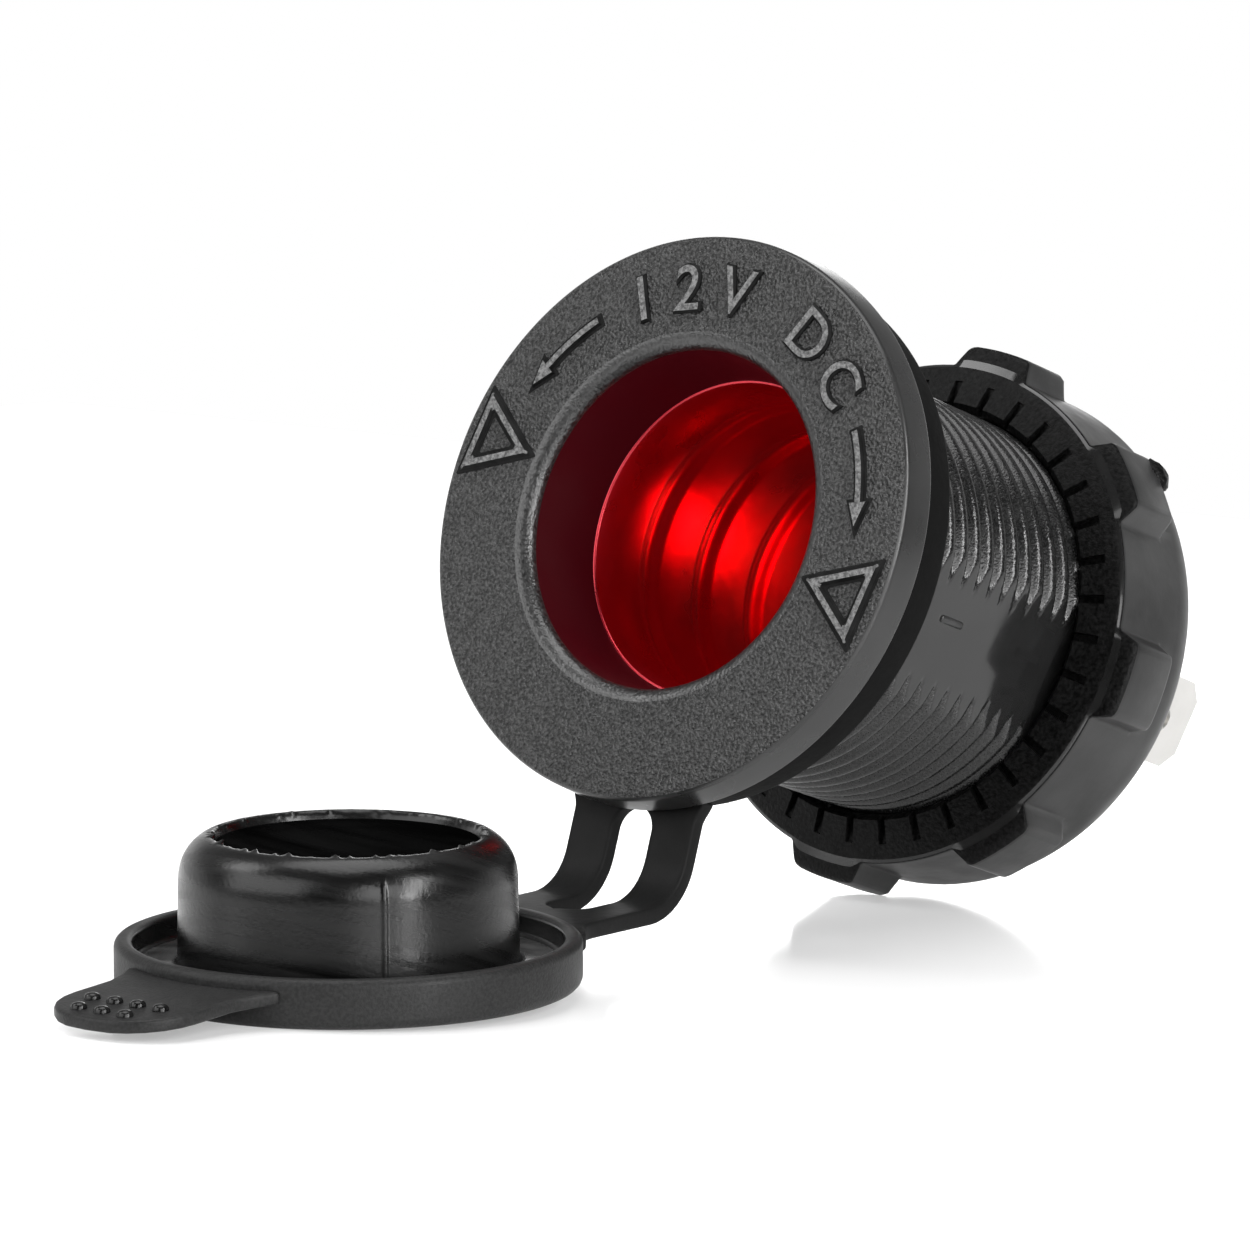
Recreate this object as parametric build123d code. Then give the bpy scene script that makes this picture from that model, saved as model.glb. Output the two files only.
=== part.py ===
from build123d import *
import os
from math import cos, radians, sin, tan

# A panel-mounted 12 V power socket with a rubber closing cap on a strap.
# Sizes are in millimetres. The barrel lies along Y: the mouth faces -Y and the terminals +Y.
# The origin is on the barrel's axis, in the plane where the rubber ring meets the panel.
# The cap is stored open, as it lies beside the socket.

# Contact sleeve: a drawn cup of plated steel with rolled beads
SLEEVE_BORE = 21.0
SLEEVE_WALL = 0.6
SLEEVE_LENGTH = 32.28
SLEEVE_NECK_LENGTH = 4.2
SLEEVE_NECK_STEP = 0.8
SLEEVE_RIM_ROUND = 0.2
BEAD_HEIGHT = 0.75
BEAD_WIDTH = 2.6
BEAD_PITCH = 6.0
BEAD_COUNT = 3
FIRST_BEAD = 6.0
FLOOR_HOLE_DIAMETER = 8.4

# Socket body: one moulding of flange, threaded barrel and rear wall
SLEEVE_FIT = 0.05
BARREL_WALL = 2.1
BARREL_LENGTH = 38.5
BARREL_FLAT_DEPTH = 0.95
BARREL_END_CHAMFER = 0.8
REAR_WALL = 2.5
FLANGE_OVERHANG = 5.0
FLANGE_THICKNESS = 2.7
FLANGE_DRAFT = 0.2
FLANGE_EDGE_ROUND = 0.5
LIP_OVERHANG = 0.58
LIP_LENGTH = 1.0
LIP_ROUND = 0.9
BODY_TURN = 14.3

# Light ring behind the mouth
LIGHT_RING_TAPER = 0.34

# Lamp strip in a channel over the sleeve
LAMP_CHANNEL_WIDTH = 3.6
LAMP_CHANNEL_DEPTH = 0.5
LAMP_BOARD_THICKNESS = 0.3
LAMP_BOARD_TAIL = 0.6
LAMP_LENGTH = 2.8
LAMP_HEIGHT = 0.8
LAMP_WIDTH = 2.6
RESISTOR_LENGTH = 2.0
RESISTOR_WIDTH = 1.25
RESISTOR_HEIGHT = 0.5
LAMP_SIDE_GAP = 0.2
LEAD_THICKNESS = 0.5
LEAD_SPREAD = 1.0

# Centre contact, rivets and insulator at the bottom of the sleeve
RIVET_FIT = 0.05
CENTRE_RIVET_DIAMETER = 3.0
CENTRE_HEAD_DIAMETER = 5.2
CENTRE_HEAD_HEIGHT = 0.9
CENTRE_TAIL_DIAMETER = 4.6
CENTRE_TAIL_HEIGHT = 0.8
CONTACT_DIAMETER = 9.0
CONTACT_THICKNESS = 1.0
CONTACT_EDGE_ROUND = 0.4
INSULATOR_THICKNESS = 1.2
INSULATOR_GAP = 0.3
SIDE_RIVET_DIAMETER = 2.4
SIDE_HEAD_DIAMETER = 4.0
SIDE_HEAD_HEIGHT = 0.7
SIDE_TAIL_DIAMETER = 3.6
SIDE_TAIL_HEIGHT = 0.7
SIDE_RIVET_OFFSET = 6.4

# Blade terminals on the rear wall
BLADE_WIDTH = 6.3
BLADE_THICKNESS = 0.8
BLADE_LENGTH = 8.0
BLADE_GAP = 0.4
BLADE_TIP_CHAMFER = 1.2
BLADE_HOLE_DIAMETER = 1.8
BLADE_HOLE_FROM_TIP = 3.2
TERMINAL_INNER_END = 2.6

# Ring nut with grip lugs and a notched front face
NUT_FIT = 0.08
NUT_WALL = 3.3
NUT_LENGTH = 11.5
NUT_REST = 20.6
NUT_SHOULDER = 3.7
NUT_REAR_LAND = 0.5
NUT_LEAD_IN = 0.5
NUT_FACE_LEAN = 16.0
LUG_COUNT = 8
LUG_HEIGHT = 1.5
LUG_LENGTH = 5.8
LUG_TIP_WIDTH = 5.3
LUG_FOOT_WIDTH = 6.0
LUG_ROUND = 0.5
LUG_TURN = 8.7
NOTCH_COUNT = 36
NOTCH_WIDTH = 0.5
NOTCH_DEPTH = 0.85
NOTCH_REACH = 2.1
NOTCH_TURN = 1.9

# Rubber ring, strap and cap
RING_THICKNESS = 3.6
RING_INSET = 0.95
RING_FIT = 0.1
PLUG_CLEARANCE = 0.72
PLUG_LENGTH = 8.0
PLUG_SHOULDER = 2.75
PLUG_TIP_INSET = 1.75
PLUG_WALL = 1.3
PLUG_TIP_WALL = 0.5
PLUG_DRAFT = 0.1
CAP_BASE = 1.5
CAP_EDGE_ROUND = 0.7
CAP_RIM_HEIGHT = 3.1
CAP_RIM_WIDTH = 1.15
CAP_MOAT_WIDTH = 2.75
CAP_SEAT_GAP = 0.3
TAB_LENGTH = 9.2
TAB_WIDTH = 10.0
TAB_FLARE = 1.2
TAB_THICKNESS = 0.8
TAB_RAISE = 1.5
TAB_DROOP = 3.8
TAB_CORNER_ROUND = 4.4
STRAP_WIDTH = 10.0
STRAP_THICKNESS = 1.1
STRAP_SLOT_WIDTH = 3.2
STRAP_SLOT_START = 0.5
STRAP_BEND = 4.2
STRAP_BRIDGE = 5.6
STRAP_RAISE = 1.35
STRAP_SETBACK = 1.1
STRAP_END_GAP = 0.15
HINGE_BELOW_FLANGE = 4.67
HINGE_SETBACK = 0.26
CAP_OPEN_ANGLE = 109.5

# Radii and places that follow from the sizes above
SLEEVE_RADIUS = SLEEVE_BORE / 2
SLEEVE_OUTER = SLEEVE_RADIUS + SLEEVE_WALL
BODY_BORE_RADIUS = SLEEVE_OUTER + BEAD_HEIGHT + SLEEVE_FIT
BARREL_RADIUS = BODY_BORE_RADIUS + BARREL_WALL
FLANGE_RADIUS = BARREL_RADIUS + FLANGE_OVERHANG
MOUTH_RADIUS = BODY_BORE_RADIUS - LIP_OVERHANG
RING_RADIUS = FLANGE_RADIUS - RING_INSET
NUT_BORE_RADIUS = BARREL_RADIUS + NUT_FIT
NUT_RADIUS = NUT_BORE_RADIUS + NUT_WALL
PLUG_RADIUS = MOUTH_RADIUS - PLUG_CLEARANCE
MOAT_RADIUS = PLUG_RADIUS + CAP_MOAT_WIDTH
CAP_RADIUS = MOAT_RADIUS + CAP_RIM_WIDTH

FLANGE_BACK = -RING_THICKNESS
FACE = FLANGE_BACK - FLANGE_THICKNESS
LIGHT_RING_FRONT = FACE + LIP_LENGTH
BARREL_END = FLANGE_BACK + BARREL_LENGTH
WALL_FRONT = BARREL_END - REAR_WALL
SLEEVE_FRONT = WALL_FRONT - SLEEVE_LENGTH
FLOOR_FRONT = WALL_FRONT - SLEEVE_WALL
NECK_FRONT = WALL_FRONT - SLEEVE_NECK_LENGTH
NECK_RADIUS = SLEEVE_RADIUS - SLEEVE_NECK_STEP
INSULATOR_FRONT = FLOOR_FRONT - INSULATOR_THICKNESS
CONTACT_FRONT = INSULATOR_FRONT - CONTACT_THICKNESS
TERMINAL_BACK = BARREL_END + BLADE_THICKNESS
BLADE_INSIDE = SIDE_RIVET_OFFSET + SIDE_TAIL_DIAMETER / 2 + BLADE_GAP
BLADE_OUTSIDE = BLADE_INSIDE + BLADE_THICKNESS
CAP_CLOSED = FACE - CAP_SEAT_GAP - CAP_RIM_HEIGHT
HINGE = Axis((0, FACE + HINGE_SETBACK, -FLANGE_RADIUS - HINGE_BELOW_FLANGE), (1, 0, 0))
CHANNEL_RADIUS = BODY_BORE_RADIUS + LAMP_CHANNEL_DEPTH
BOARD_RADIUS = CHANNEL_RADIUS - LAMP_BOARD_THICKNESS
LAMP_FRONT = SLEEVE_FRONT
RESISTOR_FRONT = SLEEVE_FRONT + FIRST_BEAD + (BEAD_PITCH - RESISTOR_LENGTH) / 2

# How far a cutting piece runs past what it cuts, and how near an edge must be to be picked
PAST = 1.0
NEAR = 0.01


def turned(points):
    """A solid of revolution about Y from (radius, y) points."""
    return revolve(make_face(Polyline(*points, close=True)), Axis.Y)


def rod(radius, start, end):
    """A plain cylinder along Y."""
    return turned([(0, start), (radius, start), (radius, end), (0, end)])


def block(x_range, y_range, z_range):
    """A box between the given limits."""
    size = [high - low for low, high in (x_range, y_range, z_range)]
    middle = [(high + low) / 2 for low, high in (x_range, y_range, z_range)]
    return Pos(*middle) * Box(*size)


def at_body_turn(shape):
    """Turn a piece about the barrel's axis with the body's flats."""
    return Rot(0, BODY_TURN, 0) * shape


def edges_at(shape, radius, place):
    """The circular edges of a given radius in the plane y = place."""
    circles = shape.edges().filter_by(GeomType.CIRCLE)
    return [e for e in circles if abs(e.radius - radius) < NEAR and abs(e.center().Y - place) < NEAR]


def make_socket_body():
    face_radius = FLANGE_RADIUS - FLANGE_DRAFT
    body = turned([
        (MOUTH_RADIUS, FACE), (face_radius, FACE), (FLANGE_RADIUS, FLANGE_BACK),
        (BARREL_RADIUS, FLANGE_BACK), (BARREL_RADIUS, BARREL_END), (0, BARREL_END),
        (0, WALL_FRONT), (BODY_BORE_RADIUS, WALL_FRONT), (BODY_BORE_RADIUS, LIGHT_RING_FRONT),
        (MOUTH_RADIUS, LIGHT_RING_FRONT)])
    body = fillet(edges_at(body, face_radius, FACE), FLANGE_EDGE_ROUND)
    body = fillet(edges_at(body, MOUTH_RADIUS, FACE), LIP_ROUND)
    body = chamfer(edges_at(body, BARREL_RADIUS, BARREL_END), BARREL_END_CHAMFER)
    flat = BARREL_RADIUS - BARREL_FLAT_DEPTH
    cuts = []
    for side in (-1, 1):
        beyond = BARREL_RADIUS + PAST
        x_range = (flat, beyond) if side > 0 else (-beyond, -flat)
        cuts.append(block(x_range, (FLANGE_BACK, BARREL_END + PAST), (-beyond, beyond)))
    half_channel = LAMP_CHANNEL_WIDTH / 2
    cuts.append(block((-half_channel, half_channel), (SLEEVE_FRONT, BARREL_END + PAST),
                      (BODY_BORE_RADIUS - PAST, CHANNEL_RADIUS)))
    centre_hole = CENTRE_RIVET_DIAMETER / 2 + RIVET_FIT
    cuts.append(rod(centre_hole, WALL_FRONT - PAST, BARREL_END + PAST))
    side_hole = SIDE_RIVET_DIAMETER / 2 + RIVET_FIT
    cuts.append(Pos(SIDE_RIVET_OFFSET, 0, 0) * rod(side_hole, WALL_FRONT - PAST, BARREL_END + PAST))
    for cut in cuts:
        body -= at_body_turn(cut)
    return body


def make_light_ring():
    outer = BODY_BORE_RADIUS - SLEEVE_FIT
    return turned([
        (MOUTH_RADIUS, LIGHT_RING_FRONT), (outer, LIGHT_RING_FRONT), (outer, SLEEVE_FRONT),
        (MOUTH_RADIUS - LIGHT_RING_TAPER, SLEEVE_FRONT)])


def bead_ring(base_radius, place):
    """A ring with a rounded crown, standing out from the given radius."""
    half = BEAD_WIDTH / 2
    foot = Line((base_radius, place + half), (base_radius, place - half))
    crown = ThreePointArc((base_radius, place - half), (base_radius + BEAD_HEIGHT, place),
                          (base_radius, place + half))
    return revolve(make_face([foot, crown]), Axis.Y)


def make_contact_sleeve():
    neck_outer = NECK_RADIUS + SLEEVE_WALL
    sleeve = turned([
        (0, SLEEVE_FRONT), (SLEEVE_OUTER, SLEEVE_FRONT), (SLEEVE_OUTER, NECK_FRONT),
        (neck_outer, NECK_FRONT + SLEEVE_NECK_STEP), (neck_outer, WALL_FRONT), (0, WALL_FRONT)])
    hollow = turned([
        (0, SLEEVE_FRONT), (SLEEVE_RADIUS, SLEEVE_FRONT), (SLEEVE_RADIUS, NECK_FRONT - SLEEVE_WALL),
        (NECK_RADIUS, NECK_FRONT - SLEEVE_WALL + SLEEVE_NECK_STEP), (NECK_RADIUS, FLOOR_FRONT),
        (0, FLOOR_FRONT)])
    for count in range(BEAD_COUNT):
        place = SLEEVE_FRONT + FIRST_BEAD + count * BEAD_PITCH
        sleeve += bead_ring(SLEEVE_OUTER, place)
        hollow += bead_ring(SLEEVE_RADIUS, place)
    sleeve -= hollow
    sleeve = fillet(edges_at(sleeve, SLEEVE_RADIUS, SLEEVE_FRONT), SLEEVE_RIM_ROUND)
    sleeve -= rod(FLOOR_HOLE_DIAMETER / 2, FLOOR_FRONT - PAST, WALL_FRONT + PAST)
    side_hole = SIDE_RIVET_DIAMETER / 2 + RIVET_FIT
    hole = Pos(SIDE_RIVET_OFFSET, 0, 0) * rod(side_hole, FLOOR_FRONT - PAST, WALL_FRONT + PAST)
    return sleeve - at_body_turn(hole)


def make_insulator_disc():
    disc_radius = NECK_RADIUS - INSULATOR_GAP
    boss_radius = FLOOR_HOLE_DIAMETER / 2 - RIVET_FIT
    disc = turned([
        (CENTRE_RIVET_DIAMETER / 2 + RIVET_FIT, INSULATOR_FRONT), (disc_radius, INSULATOR_FRONT),
        (disc_radius, FLOOR_FRONT), (boss_radius, FLOOR_FRONT), (boss_radius, WALL_FRONT),
        (CENTRE_RIVET_DIAMETER / 2 + RIVET_FIT, WALL_FRONT)])
    head_room = SIDE_HEAD_DIAMETER / 2 + INSULATOR_GAP
    room = Pos(SIDE_RIVET_OFFSET, 0, 0) * rod(head_room, INSULATOR_FRONT - PAST, FLOOR_FRONT)
    return disc - at_body_turn(room)


def make_centre_contact():
    contact = rod(CONTACT_DIAMETER / 2, CONTACT_FRONT, INSULATOR_FRONT)
    contact = fillet(edges_at(contact, CONTACT_DIAMETER / 2, CONTACT_FRONT), CONTACT_EDGE_ROUND)
    return contact - rod(CENTRE_RIVET_DIAMETER / 2 + RIVET_FIT, CONTACT_FRONT - PAST, INSULATOR_FRONT + PAST)


def make_rivet(shank, head, head_height, head_back, tail, tail_height, tail_front):
    """A rivet along Y: a domed head at the front, a clinched tail at the back."""
    rivet = turned([
        (0, head_back - head_height), (head / 2, head_back - head_height), (head / 2, head_back),
        (shank / 2, head_back), (shank / 2, tail_front), (tail / 2, tail_front),
        (tail / 2, tail_front + tail_height), (0, tail_front + tail_height)])
    return fillet(edges_at(rivet, head / 2, head_back - head_height), head_height * 0.6)


def make_centre_rivet():
    return make_rivet(CENTRE_RIVET_DIAMETER, CENTRE_HEAD_DIAMETER, CENTRE_HEAD_HEIGHT, CONTACT_FRONT,
                      CENTRE_TAIL_DIAMETER, CENTRE_TAIL_HEIGHT, TERMINAL_BACK)


def make_negative_rivet():
    rivet = make_rivet(SIDE_RIVET_DIAMETER, SIDE_HEAD_DIAMETER, SIDE_HEAD_HEIGHT, FLOOR_FRONT,
                       SIDE_TAIL_DIAMETER, SIDE_TAIL_HEIGHT, TERMINAL_BACK)
    return at_body_turn(Pos(SIDE_RIVET_OFFSET, 0, 0) * rivet)


def make_terminal(inner_end, hole_offset, hole_diameter):
    """An angle strip: a foot flat on the rear wall, and a blade that stands out at +X."""
    half = BLADE_WIDTH / 2
    blade_end = TERMINAL_BACK + BLADE_LENGTH
    foot = block((inner_end, BLADE_OUTSIDE), (BARREL_END, TERMINAL_BACK), (-half, half))
    blade = block((BLADE_INSIDE, BLADE_OUTSIDE), (BARREL_END, blade_end), (-half, half))
    corners = blade.edges().filter_by(Axis.X).group_by(Axis.Y)[-1]
    blade = chamfer(corners, BLADE_TIP_CHAMFER)
    pierced = Plane.YZ * Pos(blade_end - BLADE_HOLE_FROM_TIP, 0) * Circle(BLADE_HOLE_DIAMETER / 2)
    blade -= extrude(pierced, BLADE_OUTSIDE + PAST)
    rivet_hole = Pos(hole_offset, 0, 0) * rod(hole_diameter / 2 + RIVET_FIT, BARREL_END - PAST,
                                              TERMINAL_BACK + PAST)
    return foot + blade - rivet_hole


def make_negative_terminal():
    inner_end = SIDE_RIVET_OFFSET - TERMINAL_INNER_END
    return at_body_turn(make_terminal(inner_end, SIDE_RIVET_OFFSET, SIDE_RIVET_DIAMETER))


def make_positive_terminal():
    terminal = make_terminal(-TERMINAL_INNER_END, 0, CENTRE_RIVET_DIAMETER)
    return at_body_turn(Rot(0, 180, 0) * terminal)


def make_led_board():
    half = LAMP_CHANNEL_WIDTH / 2 - LAMP_SIDE_GAP
    board = block((-half, half), (SLEEVE_FRONT, BARREL_END + LAMP_BOARD_TAIL), (BOARD_RADIUS, CHANNEL_RADIUS))
    return at_body_turn(board)


def make_led_lamp():
    half = LAMP_WIDTH / 2
    lamp = block((-half, half), (LAMP_FRONT, LAMP_FRONT + LAMP_LENGTH),
                 (BOARD_RADIUS - LAMP_HEIGHT, BOARD_RADIUS))
    return at_body_turn(lamp)


def make_led_resistor():
    half = RESISTOR_WIDTH / 2
    resistor = block((-half, half), (RESISTOR_FRONT, RESISTOR_FRONT + RESISTOR_LENGTH),
                     (BOARD_RADIUS - RESISTOR_HEIGHT, BOARD_RADIUS))
    return at_body_turn(resistor)


def make_lamp_leads():
    """Two straight leads on the rear wall, from the lamp strip's tail to the terminals' edges."""
    terminal_edge = BLADE_WIDTH / 2
    leads = []
    for start, end in ((-LEAD_SPREAD, -LEAD_SPREAD), (LEAD_SPREAD, SIDE_RIVET_OFFSET)):
        top = Vector(start, 0, BOARD_RADIUS - LEAD_THICKNESS)
        foot = Vector(end, 0, terminal_edge + LEAD_THICKNESS / 2)
        run = top - foot
        across = Plane(origin=foot, x_dir=(0, 1, 0), z_dir=run.normalized())
        lead = extrude(across * Rectangle(LEAD_THICKNESS, LEAD_THICKNESS), run.length)
        leads.append(at_body_turn(Pos(0, BARREL_END + LEAD_THICKNESS / 2, 0) * lead))
    return leads[0] + leads[1]


def make_gasket_ring():
    inner = BARREL_RADIUS + RING_FIT
    return turned([(inner, FLANGE_BACK), (RING_RADIUS, FLANGE_BACK), (RING_RADIUS, 0), (inner, 0)])


def cap_at_rest(shape):
    """Place a piece from the cap's own frame (outer face at z = 0, strap towards -Y) in the open pose."""
    closed = Pos(0, CAP_CLOSED, 0) * Rot(-90, 0, 0) * Rot(0, 0, 180) * shape
    return closed.rotate(HINGE, CAP_OPEN_ANGLE)


def make_tab():
    """The pull tab, in the cap's own frame: a flared tongue opposite the strap, drooping to its tip."""
    root = CAP_RADIUS - CAP_RIM_WIDTH
    tip = CAP_RADIUS + TAB_LENGTH
    half = TAB_WIDTH / 2
    outline = Polyline((-half - TAB_FLARE, root), (-half, CAP_RADIUS + TAB_FLARE), (-half, tip), (half, tip),
                       (half, CAP_RADIUS + TAB_FLARE), (half + TAB_FLARE, root), close=True)
    tongue = make_face(outline)
    corners = tongue.vertices().group_by(Axis.Y)[-1]
    tongue = fillet(corners, TAB_CORNER_ROUND)
    slab = Pos(0, 0, TAB_RAISE) * extrude(tongue, TAB_THICKNESS)
    return slab.rotate(Axis((0, CAP_RADIUS, TAB_RAISE), (1, 0, 0)), -TAB_DROOP)


def make_closing_cap():
    shoulder = CAP_BASE + PLUG_LENGTH - PLUG_SHOULDER
    tip = CAP_BASE + PLUG_LENGTH
    waist = PLUG_RADIUS - PLUG_DRAFT
    tip_radius = PLUG_RADIUS - PLUG_TIP_INSET
    bulge = ((waist + tip_radius) / 2 + PLUG_TIP_INSET * 0.22, (shoulder + tip) / 2 + PLUG_SHOULDER * 0.1)
    inner_bulge = (bulge[0] - PLUG_WALL + PLUG_DRAFT, bulge[1])
    outline = [
        Polyline((0, 0), (CAP_RADIUS, 0), (CAP_RADIUS, CAP_RIM_HEIGHT), (MOAT_RADIUS, CAP_RIM_HEIGHT),
                 (MOAT_RADIUS, CAP_BASE), (PLUG_RADIUS, CAP_BASE), (waist, shoulder)),
        ThreePointArc((waist, shoulder), bulge, (tip_radius, tip)),
        Line((tip_radius, tip), (tip_radius - PLUG_TIP_WALL, tip)),
        ThreePointArc((tip_radius - PLUG_TIP_WALL, tip), inner_bulge, (waist - PLUG_WALL, shoulder)),
        Polyline((waist - PLUG_WALL, shoulder), (PLUG_RADIUS - PLUG_WALL, CAP_BASE), (0, CAP_BASE), (0, 0))]
    flat_profile = make_face(outline)
    cap = revolve(Plane.XZ * flat_profile, Axis.Z)
    bottom = [e for e in cap.edges().filter_by(GeomType.CIRCLE) if abs(e.center().Z) < NEAR]
    cap = fillet(bottom, CAP_EDGE_ROUND)
    tab = make_tab()
    tab -= Cylinder(CAP_RADIUS - CAP_RIM_WIDTH / 2, CAP_RIM_HEIGHT * 2)
    return cap_at_rest(cap + tab)


def make_cap_strap():
    """A two-legged strap: straight down from the ring, round a bend and out to the cap's rim."""
    leg_place = FLANGE_BACK + STRAP_SETBACK
    rim = cap_at_rest(Vertex(0, -CAP_RADIUS, STRAP_RAISE)).center()
    middle = cap_at_rest(Vertex(0, 0, STRAP_RAISE)).center()
    out = (rim - middle).normalized()
    corner = middle + out * ((leg_place - middle.Y) / out.Y)
    start = Vector(0, leg_place, -RING_RADIUS)
    up = Vector(0, 0, 1)

    def band(first, last, width, thickness):
        path = FilletPolyline(first, corner, last, radius=STRAP_BEND)
        section = Plane(origin=path @ 0, x_dir=(1, 0, 0), z_dir=path % 0) * Rectangle(width, thickness)
        return sweep(section, path)

    strap = band(start + up * PAST, rim - out * PAST, STRAP_WIDTH, STRAP_THICKNESS)
    strap -= band(start - up * STRAP_SLOT_START, rim + out * STRAP_BRIDGE, STRAP_SLOT_WIDTH,
                  STRAP_THICKNESS * 2)
    strap -= rod(RING_RADIUS, FLANGE_BACK - PAST, PAST)
    return strap - cap_at_rest(Cylinder(CAP_RADIUS + STRAP_END_GAP, CAP_RIM_HEIGHT * 4))


def make_lug():
    """One grip lug at the top of the nut: a trapezoid that stands out of the ring."""
    tip = NUT_RADIUS + LUG_HEIGHT
    sunk = NUT_RADIUS - NUT_WALL / 2
    outline = Polyline((-LUG_FOOT_WIDTH / 2, sunk), (-LUG_FOOT_WIDTH / 2, NUT_RADIUS - LUG_ROUND),
                       (-LUG_TIP_WIDTH / 2, tip), (LUG_TIP_WIDTH / 2, tip),
                       (LUG_FOOT_WIDTH / 2, NUT_RADIUS - LUG_ROUND), (LUG_FOOT_WIDTH / 2, sunk), close=True)
    face = make_face(outline)
    face = fillet(face.vertices().group_by(Axis.Y)[-1], LUG_ROUND)
    lug = extrude(Plane.XZ * face, -LUG_LENGTH)
    return Pos(0, NUT_REST, 0) * lug


def in_front_of_nut():
    """The room in front of the nut's face, which leans back towards the tips of the lugs."""
    start = NUT_BORE_RADIUS + NUT_LEAD_IN
    reach = NUT_RADIUS + LUG_HEIGHT + PAST
    lean = (reach - start) * tan(radians(NUT_FACE_LEAN))
    outline = Polyline((start, NUT_REST), (reach, NUT_REST + lean), (reach, NUT_REST - PAST), (start, NUT_REST - PAST),
                       close=True)
    return revolve(make_face(outline), Axis.Y)


def make_ring_nut():
    rear = NUT_REST + NUT_LENGTH
    land = NUT_BORE_RADIUS + NUT_REAR_LAND
    side = Line((NUT_RADIUS, NUT_REST), (NUT_RADIUS, rear - NUT_SHOULDER))
    shoulder = TangentArc(side @ 1, (land, rear), tangent=(0, 1))
    inside = Polyline((land, rear), (NUT_BORE_RADIUS, rear), (NUT_BORE_RADIUS, NUT_REST + NUT_LEAD_IN),
                      (NUT_BORE_RADIUS + NUT_LEAD_IN, NUT_REST), (NUT_RADIUS, NUT_REST))
    nut = revolve(make_face([side, shoulder, inside]), Axis.Y)
    lug = make_lug()
    for count in range(LUG_COUNT):
        nut += Rot(0, LUG_TURN + count * 360 / LUG_COUNT, 0) * lug
    nut -= in_front_of_nut()
    notch = block((-NOTCH_WIDTH / 2, NOTCH_WIDTH / 2), (NUT_REST - PAST, NUT_REST + NOTCH_DEPTH),
                  (NUT_BORE_RADIUS - PAST, NUT_BORE_RADIUS + NOTCH_REACH))
    notches = [Rot(0, NOTCH_TURN + count * 360 / NOTCH_COUNT, 0) * notch for count in range(NOTCH_COUNT)]
    return nut - notches


PIECES = {
    "socket_body": make_socket_body,
    "light_ring": make_light_ring,
    "contact_sleeve": make_contact_sleeve,
    "insulator_disc": make_insulator_disc,
    "centre_contact": make_centre_contact,
    "centre_rivet": make_centre_rivet,
    "positive_terminal": make_positive_terminal,
    "negative_terminal": make_negative_terminal,
    "negative_rivet": make_negative_rivet,
    "led_board": make_led_board,
    "led_lamp": make_led_lamp,
    "led_resistor": make_led_resistor,
    "lamp_leads": make_lamp_leads,
    "gasket_ring": make_gasket_ring,
    "cap_strap": make_cap_strap,
    "closing_cap": make_closing_cap,
    "ring_nut": make_ring_nut,
}

os.makedirs("parts", exist_ok=True)
for name, make in PIECES.items():
    export_step(make(), f"parts/{name}.step")
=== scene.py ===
import math

import bmesh
import bpy
from mathutils import Matrix, Vector


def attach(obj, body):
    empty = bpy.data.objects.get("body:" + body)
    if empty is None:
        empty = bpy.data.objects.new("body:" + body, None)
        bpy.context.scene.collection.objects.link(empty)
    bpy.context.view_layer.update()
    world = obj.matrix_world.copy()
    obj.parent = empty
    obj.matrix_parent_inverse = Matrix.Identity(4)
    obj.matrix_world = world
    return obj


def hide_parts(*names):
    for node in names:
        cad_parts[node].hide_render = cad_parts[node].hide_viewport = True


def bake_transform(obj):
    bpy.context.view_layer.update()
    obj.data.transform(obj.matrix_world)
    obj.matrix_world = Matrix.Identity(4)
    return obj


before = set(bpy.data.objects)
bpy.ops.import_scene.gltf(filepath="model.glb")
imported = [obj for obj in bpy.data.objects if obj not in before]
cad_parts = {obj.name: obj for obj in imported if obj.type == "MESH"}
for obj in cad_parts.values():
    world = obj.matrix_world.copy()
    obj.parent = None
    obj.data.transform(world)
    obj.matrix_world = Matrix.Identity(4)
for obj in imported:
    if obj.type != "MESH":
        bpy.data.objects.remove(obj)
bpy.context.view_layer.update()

# Sizes in millimetres; MM turns them into metres. They follow the part's source, but the sleeve's beads,
# the nut's notches and the light ring's rear edge are drawn shallower, as they look on the object.
# y runs along the barrel from the panel seat; angles are in degrees and go from +Z towards +X.
MM = 0.001
SLEEVE_RADIUS = 10.5
SLEEVE_WALL = 0.6
SLEEVE_FRONT = 0.12
SLEEVE_BEADS = (6.12, 12.12, 18.12)
BEAD_HEIGHT = 0.32
BEAD_WIDTH = 2.6
NECK_FRONT = 28.2
NECK_STEP = 0.8
FLOOR_FRONT = 31.8
FLOOR_HOLE_RADIUS = 4.2
WALL_FRONT = 32.4
BODY_BORE_RADIUS = 11.9
MOUTH_RADIUS = 11.32
LIP_WIDTH = 1.15
LIP_DEPTH = 0.95
LIGHT_RING_FRONT = -5.3
LIGHT_RING_OUTER = 11.85
LIGHT_RING_REAR = 10.68
FLANGE_BACK = -3.6
FACE = -6.3
FLANGE_RADIUS = 19.0
FACE_RADIUS = 18.8
BARREL_RADIUS = 14.0
BARREL_END = 34.9
BARREL_FLAT = 13.05
END_CHAMFER = 0.8
BODY_TURN = 14.3
RING_RADIUS = 18.05
RING_BORE = 14.1
NUT_FRONT = 20.6
NUT_LENGTH = 11.5
NUT_BORE = 14.08
NUT_RADIUS = 17.38
NUT_LEAD_IN = 0.5
NUT_FACE_LEAN = 16.0
NUT_SHOULDER = 3.7
NUT_LAND = 14.58
LUG_COUNT = 8
LUG_HEIGHT = 1.5
LUG_LENGTH = 5.8
LUG_TURN = 8.7
LUG_TIP_HALF = 8.0
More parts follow.
